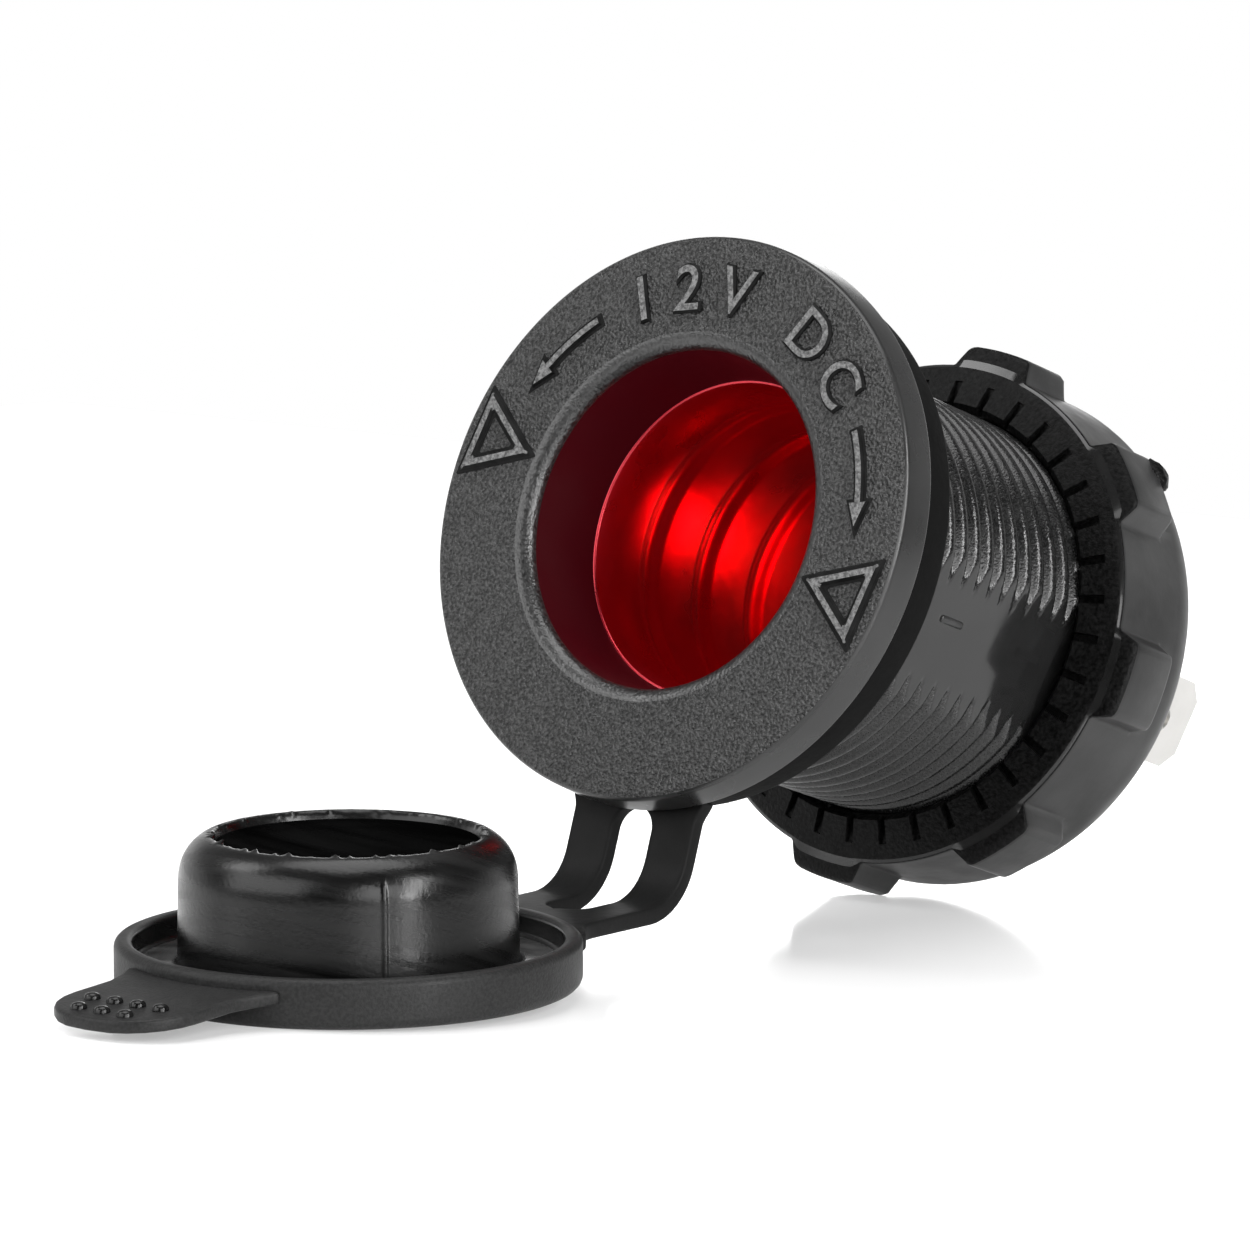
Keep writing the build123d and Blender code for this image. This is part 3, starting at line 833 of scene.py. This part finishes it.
def nut_angles():
    """Columns for the nut, close together at each lug's sides and each notch."""
    angles = set(round(step * 2.5, 3) for step in range(144))
    notch = math.degrees(NOTCH_HALF / NUT_BORE)
    for count in range(NOTCH_COUNT):
        middle = NOTCH_TURN + count * 360 / NOTCH_COUNT
        for off in (-notch - 0.12, -notch, notch, notch + 0.12):
            angles.add(round((middle + off) % 360, 3))
    for count in range(LUG_COUNT):
        middle = LUG_TURN + count * 360 / LUG_COUNT
        for off in (LUG_TIP_HALF - LUG_TIP_ROUND, LUG_TIP_HALF - 0.7, LUG_TIP_HALF, LUG_TIP_HALF + 0.4,
                    LUG_FOOT_HALF - 0.6, LUG_FOOT_HALF, LUG_FOOT_HALF + LUG_FOOT_ROUND):
            angles.add(round((middle + off) % 360, 3))
            angles.add(round((middle - off) % 360, 3))
    return sorted(angles)


def lug_share(degrees):
    """How far a lug stands out at this angle, from 0 to 1."""
    pitch = 360 / LUG_COUNT
    off = abs((degrees - LUG_TURN + pitch / 2) % pitch - pitch / 2)
    if off <= LUG_TIP_HALF - LUG_TIP_ROUND:
        return 1.0
    if off >= LUG_FOOT_HALF + LUG_FOOT_ROUND:
        return 0.0
    if off <= LUG_TIP_HALF:
        return 1.0 - 0.12 * ((off - LUG_TIP_HALF + LUG_TIP_ROUND) / LUG_TIP_ROUND) ** 2
    if off >= LUG_FOOT_HALF:
        return 0.08 * ((LUG_FOOT_HALF + LUG_FOOT_ROUND - off) / LUG_FOOT_ROUND) ** 2
    return 0.88 - 0.8 * (off - LUG_TIP_HALF) / (LUG_FOOT_HALF - LUG_TIP_HALF)


def in_notch(degrees):
    """Whether this angle falls in a notch of the nut's front."""
    pitch = 360 / NOTCH_COUNT
    off = abs((degrees - NOTCH_TURN + pitch / 2) % pitch - pitch / 2)
    return off <= math.degrees(NOTCH_HALF / NUT_BORE) + 0.01


def nut_face(radius):
    """The place of the nut's front face, which leans back towards the lugs' tips."""
    lean = math.tan(math.radians(NUT_FACE_LEAN))
    return NUT_FRONT + max(0.0, radius - NUT_BORE - NUT_LEAD_IN) * lean


def nut_groove(degrees, place):
    """How deep the nut's inside thread is cut; its grooves lie over the barrel's crests."""
    share = (place / THREAD_PITCH - degrees / 360) % 1
    front = NUT_FRONT + NOTCH_DEPTH
    fade = smooth_step(front + 0.2, front + 1.2, place)
    fade *= smooth_step(NUT_FRONT + NUT_LENGTH - 0.3, NUT_FRONT + NUT_LENGTH - 1.2, place)
    return THREAD_DEPTH * max(0.0, abs(2 * share - 1) - 0.1) * fade


def make_nut(rough, satin, polished):
    """The ring nut. Rows hold a radius, a place, a share of the lugs, a notch, a setback and a finish.

    A row without a place lies on the front face. Its setback rounds the front edge, but not on the lugs.
    """
    rear = NUT_FRONT + NUT_LENGTH
    lug_end = NUT_FRONT + LUG_LENGTH
    rows = []
    bore_front = NUT_FRONT + NOTCH_DEPTH + 0.1
    bore_rear = rear - 0.3
    strips = round((bore_rear - bore_front) / THREAD_PITCH * 10)
    for step in range(strips + 1):
        place = bore_rear - (bore_rear - bore_front) * step / strips
        rows.append((NUT_BORE, place, 0, False, 0, 1))
    rows.append((NUT_BORE, NUT_FRONT + NUT_LEAD_IN, 0, True, 0, 0))
    for radius, notched in ((NUT_BORE + NUT_LEAD_IN, True), (NUT_BORE + 1.3, True), (NOTCH_END - 0.06, True),
                            (NOTCH_END, False), (NUT_RADIUS - 0.42, False)):
        rows.append((radius, None, 0, notched, 0, 0))
    rows.append((NUT_RADIUS - 0.24, None, 0.04, False, 0.03, 2))
    for lug in (0.3, 0.6, 0.86):
        rows.append((NUT_RADIUS - 0.06, None, lug, False, 0.12, 0))
    rows.append((NUT_RADIUS, None, 0.97, False, 0.2, 1))
    rows.append((NUT_RADIUS, None, 1, False, 0.45, 1))
    for off, lug in ((-0.35, 1), (-0.1, 0.93), (0, 0.8), (0.1, 0.1), (0.3, 0)):
        rows.append((NUT_RADIUS, lug_end + off, lug, False, 0, 1))
    reach = NUT_RADIUS - NUT_LAND
    bend = (reach ** 2 + NUT_SHOULDER ** 2) / (2 * reach)
    turn = math.asin(NUT_SHOULDER / bend)
    for step in range(13):
        angle = turn * step / 12
        place = rear - NUT_SHOULDER + bend * math.sin(angle)
        rows.append((NUT_RADIUS - bend * (1 - math.cos(angle)), place, 0, False, 0, 1))
    rows.append((NUT_BORE + 0.15, rear, 0, False, 0, 1))
    rows.append((NUT_BORE, rear - 0.15, 0, False, 0, 1))

    def point(row, degrees):
        radius, place, lug, notched, setback = row[:5]
        radius += LUG_HEIGHT * lug * lug_share(degrees)
        if radius == NUT_BORE:
            radius += nut_groove(degrees, place)
        if place is None:
            on_front = 1 - lug_share(degrees) if lug < 0.9 else 1
            place = nut_face(radius) + setback * on_front
        if notched and in_notch(degrees):
            place = NUT_FRONT + NOTCH_DEPTH
        return polar(radius, place, degrees)

    slots = [row[5] for row in rows]
    nut = round_grid("nut_skin", rows, nut_angles(), point, (rough, satin, polished), slots, wrap=True)
    sharpen(nut, 35)
    return nut


def make_gate(coat):
    """The torn moulding gate at the rear of one lug."""
    work = bmesh.new()
    bmesh.ops.create_icosphere(work, subdivisions=3, radius=1.0)
    for vertex in work.verts:
        x, y, z = vertex.co
        torn = 1 + 0.12 * math.sin(9 * x + 4 * z) * math.sin(7 * y + 3 * x)
        radius = GATE_RADIUS + 0.75 * z * torn
        vertex.co = polar(radius, GATE_PLACE + y * torn, GATE_TURN + 4.0 * x * torn)
    bmesh.ops.recalc_face_normals(work, faces=work.faces)
    return worked_object("nut_gate", work, coat)


def cap_matrix():
    """From the cap's own frame (outer face at z = 0, strap towards -Y) to where it lies open."""
    closed = Matrix.Translation((0, CAP_CLOSED * MM, 0)) @ Matrix.Rotation(math.radians(-90), 4, "X")
    closed = closed @ Matrix.Rotation(math.pi, 4, "Z")
    hinge = Matrix.Translation((0, HINGE_Y * MM, HINGE_Z * MM))
    return hinge @ Matrix.Rotation(math.radians(CAP_OPEN_ANGLE), 4, "X") @ hinge.inverted() @ closed


def upright(radius, height, degrees):
    """A point in the cap's own frame, about its Z axis."""
    turn = math.radians(degrees)
    return Vector((radius * math.sin(turn), radius * math.cos(turn), height)) * MM


def curve_through(start, bulge, end, steps=10):
    """Points on a smooth curve through three points."""
    a, b, c = Vector(start), Vector(bulge), Vector(end)
    points = []
    for step in range(steps + 1):
        share = step / steps
        left = 1 - share
        point = a * left * (1 - 2 * share) + b * 4 * share * left + c * share * (2 * share - 1)
        points.append(tuple(point))
    return points


def make_tab():
    """The pull tab in the cap's own frame: a flared tongue opposite the strap, drooping to its tip."""
    outline = [(-TAB_HALF - out, y) for out, y in TAB_FLARE]
    for step in range(0, 13):
        turn = math.radians(180 - 15 * step)
        side = TAB_HALF - TAB_ROUND
        middle = math.copysign(side, math.cos(turn)) if abs(math.cos(turn)) > 0.01 else 0
        y = TAB_TIP - TAB_ROUND + TAB_ROUND * math.sin(turn)
        outline.append((middle + TAB_ROUND * math.cos(turn), y))
    outline += [(TAB_HALF + out, y) for out, y in reversed(TAB_FLARE)]
    work = bmesh.new()
    low = [work.verts.new(Vector((x, y, TAB_RAISE)) * MM) for x, y in outline]
    face = work.faces.new(low)
    grown = bmesh.ops.extrude_face_region(work, geom=[face])
    top = [item for item in grown["geom"] if isinstance(item, bmesh.types.BMVert)]
    bmesh.ops.translate(work, verts=top, vec=(0, 0, TAB_THICKNESS * MM))
    bmesh.ops.recalc_face_normals(work, faces=work.faces)
    edges = [edge for edge in work.edges if edge.calc_face_angle(0) > math.radians(50)]
    bmesh.ops.bevel(work, geom=edges, offset=0.2 * MM, segments=3, profile=0.5, affect="EDGES")
    hinge = Vector((0, CAP_RADIUS, TAB_RAISE)) * MM
    droop = Matrix.Rotation(math.radians(-TAB_DROOP), 3, "X")
    bmesh.ops.rotate(work, verts=work.verts, cent=hinge, matrix=droop)
    return worked_object("tab", work)


def tab_top(y):
    """The height of the drooping tab's upper face."""
    return TAB_RAISE + TAB_THICKNESS - math.tan(math.radians(TAB_DROOP)) * (y - CAP_RADIUS)


def tab_studs():
    """Two rows of small grip studs on the tab, in the cap's own frame."""
    work = bmesh.new()
    for count, first, pitch, y in STUD_ROWS:
        for index in range(count):
            x = first + pitch * index
            made = bmesh.ops.create_uvsphere(work, u_segments=16, v_segments=10, radius=1.0)
            for vertex in made["verts"]:
                a, b, c = vertex.co
                rise = STUD_HEIGHT * math.copysign(abs(c) ** 0.6, c) - 0.05
                vertex.co = Vector((x + STUD_RADIUS * a, y + STUD_RADIUS * b, tab_top(y) + rise)) * MM
    return worked_object("studs", work)


def cap_angles():
    """Columns for the cap, close together at the plug's mould seam."""
    angles = set(even_angles(300))
    for off in (-SEAM_HALF, -0.9, -0.4, 0.0, 0.4, 0.9, SEAM_HALF):
        angles.add(round(PLUG_SEAM + off, 3))
    return sorted(angles)


def ragged(degrees):
    """A torn edge: uneven lumps round a circle, from 0 to 1, most of them on the side of the tab."""
    turn = math.radians(degrees)
    waves = math.sin(17 * turn) + math.sin(41 * turn + 1.3) + math.sin(67 * turn + 0.4)
    return max(0.0, waves - 0.4) / 2.6 * (0.65 + 0.35 * math.cos(turn))


def make_cap(coat, painted_reflection, fine):
    """The closing cap: rows of (radius, height, kind) from its outer face, over the rim, moat and plug."""
    inner_waist = PLUG_WAIST - PLUG_WALL
    outside = rounded([
        (2.0, 0, 0), (CAP_RADIUS, 0, 0.7), (CAP_RADIUS, CAP_RIM, 0.5), (MOAT_RADIUS, CAP_RIM, 0.4),
        (MOAT_RADIUS, CAP_BASE, 0.35), (PLUG_RADIUS, CAP_BASE, 0.4), (PLUG_WAIST, PLUG_SHOULDER, 0)])
    shoulder = curve_through(
        (PLUG_WAIST, PLUG_SHOULDER), (PLUG_BULGE_RADIUS, PLUG_BULGE), (PLUG_TIP_RADIUS, PLUG_TIP))
    inner_shoulder = curve_through(
        (PLUG_TIP_RADIUS - 0.5, PLUG_TIP), (PLUG_BULGE_RADIUS - 1.2, PLUG_BULGE),
        (inner_waist, PLUG_SHOULDER))
    inside = rounded([
        (inner_waist, PLUG_SHOULDER, 0), (PLUG_RADIUS - PLUG_WALL, CAP_BASE, 0.6), (2.0, CAP_BASE, 0)])
    tip = [(0.08, -0.06, "plain"), (-0.08, 0, "plain"), (-0.35, 0, "torn"), (-0.45, -0.05, "torn"),
           (-0.6, -0.3, "plain"), (-0.68, -0.5, "plain"), (-0.6, -0.6, "plain")]
    rows = [(radius, height, "plain") for radius, height in outside[:-1] + shoulder[:-1]]
    rows += [(PLUG_TIP_RADIUS + out, PLUG_TIP + up, kind) for out, up, kind in tip]
    rows += [(radius, height, "plain") for radius, height in inner_shoulder[5:] + inside[1:]]
    slots = []
    for radius, height, kind in rows[:-1]:
        in_moat = PLUG_RADIUS + 0.2 < radius < MOAT_RADIUS - 0.2 and height < CAP_BASE + 0.1
        slots.append(1 if in_moat else 0)

    def point(row, degrees):
        radius, height, kind = row
        if kind == "torn":
            radius -= 0.35 * ragged(degrees)
            height += 0.25 * ragged(degrees)
        on_side = PLUG_WAIST - 0.3 < radius < PLUG_RADIUS + 0.4 and height > CAP_BASE
        if on_side:
            off = abs((degrees - PLUG_SEAM + 180) % 360 - 180)
            radius += SEAM_HEIGHT * smooth_step(SEAM_HALF, 0.1, off)
        return upright(radius, height, degrees)

    cap = round_grid("cap_skin", rows, cap_angles(), point, (coat, painted_reflection, fine), slots)
    cap = united(cap, make_tab())
    cap = united(cap, tab_studs())
    for face in cap.data.polygons:
        x, y, z = face.center / MM
        on_stud = y > CAP_RADIUS + 4 and z > tab_top(y) + 0.05
        on_rim = math.hypot(x, y) > MOAT_RADIUS + 0.1 or z < 0.5
        if on_rim and not on_stud:
            face.material_index = 2
    cap.data.transform(cap_matrix())
    smooth(cap)
    sharpen(cap, 45)
    return cap


def strap_path():
    """The strap's middle line in the YZ plane: its start, its corner and its end at the cap's rim."""
    to_rest = cap_matrix()
    rim = to_rest @ upright(CAP_RADIUS, STRAP_RAISE, 180)
    middle = to_rest @ upright(0, STRAP_RAISE, 0)
    out = (rim - middle).normalized()
    corner = middle + out * ((STRAP_PLACE * MM - middle.y) / out.y)
    start = Vector((0, STRAP_PLACE * MM, -RING_RADIUS * MM))
    return start, corner, rim


def strap_points():
    """A function of the distance along the strap, giving a point and its normal, and the strap's length."""
    start, corner, rim = strap_path()
    bend = STRAP_BEND * MM
    down = (corner - start).normalized()
    away = (rim - corner).normalized()
    turn = down.angle(away)
    cut = bend * math.tan(turn / 2)
    first = (corner - start).length - cut
    arc = bend * turn
    normal = Vector((0, -down.z, down.y))
    side = 1 if normal.dot(away) > 0 else -1
    normal = normal * side
    centre = start + down * first + normal * bend

    def place(distance):
        if distance < first:
            return start + down * distance, normal
        if distance < first + arc:
            angle = (distance - first) / bend
            n = normal * math.cos(angle) - down * math.sin(angle)
            return centre - n * bend, n
        n = normal * math.cos(turn) - down * math.sin(turn)
        return centre - n * bend + away * (distance - first - arc), n

    total = first + arc + (rim - corner).length - cut
    return place, total


def make_strap(coat):
    """Two legs with a slot between them, moulded to the ring at one end and to the cap at the other."""
    place, total = strap_points()
    slot_start = 0.5 * MM
    slot_end = total - STRAP_BRIDGE * MM
    half_slot = STRAP_SLOT_HALF * MM
    rows = 90
    columns = 6
    vertices = []
    low = -0.4 * MM
    high = total + 0.5 * MM
    for row in range(rows + 1):
        along = low + (high - low) * row / rows
        width = STRAP_HALF * MM
        width += 2.2 * MM * smooth_step(total - 4.0 * MM, total + 0.5 * MM, along) ** 2
        width += 0.5 * MM * smooth_step(1.2 * MM, -0.4 * MM, along)
        depth = min(along - slot_start, slot_end - along)
        slot = 0.0
        if depth > 0:
            slot = half_slot * math.sqrt(max(0.0, 1 - max(0.0, 1 - depth / half_slot) ** 2))
        for side in (-1, 1):
            for column in range(columns + 1):
                across = width + (slot - width) * column / columns
                vertices.append(Vector((side * across, along, 0)))
    faces = []
    leg = columns + 1
    for row in range(rows):
        for side in range(2):
            first = (row * 2 + side) * leg
            above = ((row + 1) * 2 + side) * leg
            for column in range(columns):
                faces.append((first + column, first + column + 1, above + column + 1, above + column))
    mesh = bpy.data.meshes.new("strap_skin")
    mesh.from_pydata(vertices, [], faces)
    outward(mesh, 0.00001)
    strap = new_object("strap_skin", mesh)
    thick = strap.modifiers.new("thickness", "SOLIDIFY")
    thick.thickness = STRAP_THICKNESS * MM
    thick.offset = 0
    edge = strap.modifiers.new("edge", "BEVEL")
    edge.width = 0.28 * MM
    edge.segments = 3
    edge.limit_method = "ANGLE"
    edge.angle_limit = math.radians(50)
    baked(strap)
    for vertex in strap.data.vertices:
        across, along, lift = vertex.co
        middle, normal = place(along)
        vertex.co = middle + normal * lift + Vector((across, 0, 0))
    outward(strap.data)
    strap.data.materials.append(coat)
    smooth(strap)
    sharpen(strap, 60)
    return strap


# The camera, the floor and the light stand in the floor's own frame: z up, y to the rear.
PITCH = math.radians(19.47)
FLOOR_DROP = 25.14
FLOOR_SLOPE = math.radians(-2.1)
CAMERA_AZIMUTH = math.radians(39.083)
CAMERA_HEIGHT = math.radians(8.349)
CAMERA_DISTANCE = 459.07
CAMERA_RIGHT = 4.264
CAMERA_UP = -18.396
CAMERA_LENS = 201.6


def floor_turn():
    """Rotation from the floor's frame to the object's."""
    return Matrix.Rotation(PITCH, 3, "X")


def from_floor(x, y, z):
    """A point in the object's frame, in metres, from millimetres in the floor's frame."""
    point = floor_turn() @ Vector((x, y, z - FLOOR_DROP))
    return (point + Vector((0, FLANGE_BACK, 0))) * MM


def place_camera():
    """The camera that took the photograph, as solved from its edges."""
    sa, ca = math.sin(CAMERA_AZIMUTH), math.cos(CAMERA_AZIMUTH)
    se, ce = math.sin(CAMERA_HEIGHT), math.cos(CAMERA_HEIGHT)
    right = Vector((ca, sa, 0))
    up = Vector((-sa * se, ca * se, ce))
    ahead = Vector((-sa * ce, ca * ce, -se))
    eye = -right * CAMERA_RIGHT - up * CAMERA_UP - ahead * CAMERA_DISTANCE
    lens = bpy.data.cameras.new("camera")
    lens.lens = CAMERA_LENS
    lens.sensor_width = 36
    lens.sensor_fit = "HORIZONTAL"
    lens.clip_start = 0.01
    lens.clip_end = 20
    camera = add("camera", lens)
    turn = floor_turn()
    axes = [turn @ right, turn @ up, turn @ -ahead]
    camera.matrix_world = Matrix.Translation(from_floor(*eye)) @ Matrix(axes).transposed().to_4x4()
    bpy.context.scene.camera = camera


def aimed_lamp(lamp, where, aim):
    """A lamp at a point in metres, aimed at another."""
    obj = add(lamp.name, lamp)
    obj.location = where
    obj.rotation_euler = (aim - where).to_track_quat("-Z", "Y").to_euler()
    return obj


def soft_light(name, where, aim, width, height, level):
    """A rectangular soft light at a point of the floor's frame; level is how bright its face is."""
    lamp = bpy.data.lights.new(name, "AREA")
    lamp.shape = "RECTANGLE"
    lamp.size = width * MM
    lamp.size_y = height * MM
    lamp.energy = level * math.pi * lamp.size * lamp.size_y
    obj = aimed_lamp(lamp, from_floor(*where), from_floor(*aim))
    obj.visible_camera = False


def glow_light(where, aim, power, *lit):
    """A small red lamp deep in the mouth, aimed at one side of the sleeve; it lights only some pieces."""
    lamp = bpy.data.lights.new("glow", "SPOT")
    lamp.energy = power
    lamp.color = (1.0, 0.005, 0.01)
    lamp.shadow_soft_size = 2.5 * MM
    lamp.spot_size = math.radians(125)
    lamp.spot_blend = 1.0
    obj = aimed_lamp(lamp, Vector(where) * MM, Vector(aim) * MM)
    obj.light_linking.receiver_collection = bpy.data.collections.new("lit by the glow")
    for piece in lit:
        obj.light_linking.receiver_collection.objects.link(piece)


def facing(nodes, links, direction, low, high, dim, bright):
    """How much a ray of the world goes in a direction of the floor's frame, as a smooth level."""
    place = nodes.new("ShaderNodeTexCoord")
    along = nodes.new("ShaderNodeVectorMath")
    along.operation = "DOT_PRODUCT"
    along.inputs[1].default_value = floor_turn() @ Vector(direction)
    level = map_range(nodes, low, high, dim, bright)
    level.interpolation_type = "SMOOTHSTEP"
    links.new(place.outputs["Generated"], along.inputs[0])
    links.new(along.outputs["Value"], level.inputs["Value"])
    return level.outputs["Result"]


def light_world():
    """White to the camera; to all else a studio, white low behind the object and dim above and in front."""
    world = bpy.data.worlds.new("world")
    bpy.context.scene.world = world
    world.use_nodes = True
    nodes = world.node_tree.nodes
    links = world.node_tree.links
    product = nodes.new("ShaderNodeMath")
    product.operation = "MULTIPLY"
    links.new(facing(nodes, links, (-0.63, 0.77, 0.1), -0.1, 0.7, 0.06, 1.0), product.inputs[0])
    links.new(facing(nodes, links, (0, 0, 1), 0.1, 0.4, 1.0, 0.25), product.inputs[1])
    studio = nodes["Background"]
    put(studio, {"Color": (1, 1, 1, 1)})
    links.new(product.outputs["Value"], studio.inputs["Strength"])
    bright = nodes.new("ShaderNodeBackground")
    put(bright, {"Color": (1, 1, 1, 1), "Strength": 1.0})
    path = nodes.new("ShaderNodeLightPath")
    mix = nodes.new("ShaderNodeMixShader")
    links.new(path.outputs["Is Camera Ray"], mix.inputs["Fac"])
    links.new(studio.outputs["Background"], mix.inputs[1])
    links.new(bright.outputs["Background"], mix.inputs[2])
    links.new(mix.outputs["Shader"], nodes["World Output"].inputs["Surface"])


def make_floor():
    """A glossy white sheet, pure white to the camera and to mirrors, which can't be seen from below."""
    size = 0.3
    mesh = bpy.data.meshes.new("floor")
    corners = [(-size, -size), (size, -size), (size, size), (-size, size)]
    turn = floor_turn() @ Matrix.Rotation(FLOOR_SLOPE, 3, "X")
    touch = from_floor(0, -46.0, -0.05)
    mesh.from_pydata([touch + turn @ Vector((x, y, 0)) for x, y in corners], [], [(0, 1, 2, 3)])
    obj = new_object("floor", mesh)
    made = material("floor", grey(0.9), 0.12)
    nodes = made.node_tree.nodes
    links = made.node_tree.links
    path = nodes.new("ShaderNodeLightPath")
    seen = nodes.new("ShaderNodeMath")
    seen.operation = "MAXIMUM"
    share = nodes.new("ShaderNodeMath")
    share.operation = "MULTIPLY"
    share.inputs[1].default_value = 0.36
    links.new(path.outputs["Is Camera Ray"], seen.inputs[0])
    links.new(path.outputs["Is Glossy Ray"], seen.inputs[1])
    links.new(seen.outputs["Value"], share.inputs[0])
    shader = main_shader(made)
    put(shader, {"Emission Color": (1, 1, 1, 1)})
    links.new(share.outputs["Value"], shader.inputs["Emission Strength"])
    clear = nodes.new("ShaderNodeBsdfTransparent")
    side = nodes.new("ShaderNodeNewGeometry")
    mix = nodes.new("ShaderNodeMixShader")
    links.new(side.outputs["Backfacing"], mix.inputs["Fac"])
    links.new(shader.outputs["BSDF"], mix.inputs[1])
    links.new(clear.outputs["BSDF"], mix.inputs[2])
    links.new(mix.outputs["Shader"], nodes["Material Output"].inputs["Surface"])
    mesh.materials.append(made)


def coat_nodes(coat, *names):
    """Give CAD nodes that stay as they are a material."""
    for name in names:
        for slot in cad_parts[name].material_slots:
            slot.material = coat


def fit(piece, body, slot, *nodes):
    """Tie a piece to its body and to the CAD nodes that it stands for, which it hides. Its slot, a finish's
    name, is not used.
    """
    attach(piece, body)
    if nodes:
        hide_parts(*nodes)


grain = grained_plastic()
plain = smooth_plastic()
polished = polished_plastic()
rough = rough_shaded_plastic()
painted_light = painted_light_plastic()
shaded = shaded_plastic()

body = make_body(grain, plain, thread_plastic(), polished, lip_plastic())
fit(body, "socket", "black_plastic", "socket_body")
fit(make_marks(painted_light, shaded), "socket", "black_plastic")
fit(make_letters(painted_light, shaded), "socket", "black_plastic")
fit(make_dash(plain), "socket", "black_plastic")
fit(make_gasket(matt_rubber("ring rubber", 0.04, 0.003)), "socket", "black_rubber", "gasket_ring")
lens = make_light_ring(red_lens())
fit(lens, "socket", "red_lens", "light_ring")
sleeve = make_sleeve(plated_steel())
fit(sleeve, "socket", "plated_steel", "contact_sleeve")
fit(make_nut(rough, satin_plastic(), polished), "nut", "black_plastic", "ring_nut")
fit(make_gate(rough), "nut", "black_plastic")
fit(make_cap(satin_rubber(), moat_reflection_rubber(), fine_rubber()), "cap", "black_rubber", "closing_cap")

strap = make_strap(matt_rubber("strap rubber", 0.14, 0.006))
start, corner, rim = strap_path()
tuple(start)
tuple(rim)
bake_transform(strap)
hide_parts("cap_strap")

tin = plain_metal("tin plate", (0.72, 0.71, 0.69))
coat_nodes(tin, "positive_terminal", "negative_terminal", "lamp_leads")
coat_nodes(plain_metal("brass", (0.72, 0.52, 0.25)), "centre_contact", "centre_rivet")
coat_nodes(plain_metal("nickel plate", (0.7, 0.68, 0.65)), "negative_rivet")
coat_nodes(dull("fibre", (0.1, 0.07, 0.05)), "insulator_disc")
coat_nodes(dull("board", (0.04, 0.16, 0.08)), "led_board")
coat_nodes(dull("lamp resin", (0.7, 0.1, 0.1)), "led_lamp")
coat_nodes(dull("glaze", (0.02, 0.02, 0.02)), "led_resistor")

bpy.context.scene.view_settings.view_transform = "Standard"
place_camera()
light_world()
make_floor()
soft_light("top", (-20, 0, 440), (0, 0, 15), 320, 320, 3.4)
soft_light("top left", (-298, -182, 346), (0, 0, 20), 160, 160, 5.0)
soft_light("right", (440, -40, 200), (0, 5, 20), 90, 400, 15.0)
soft_light("right front", (403, -261, 170), (0, -10, 20), 220, 260, 4.5)
soft_light("left", (-154, -423, 230), (0, -10, 20), 520, 300, 2.7)
soft_light("back", (-260, 390, 95), (0, 0, 20), 150, 130, 2.2)
glow_light((3, 26, -0.8), (-10.5, 11, -1), 0.0036, sleeve, lens)
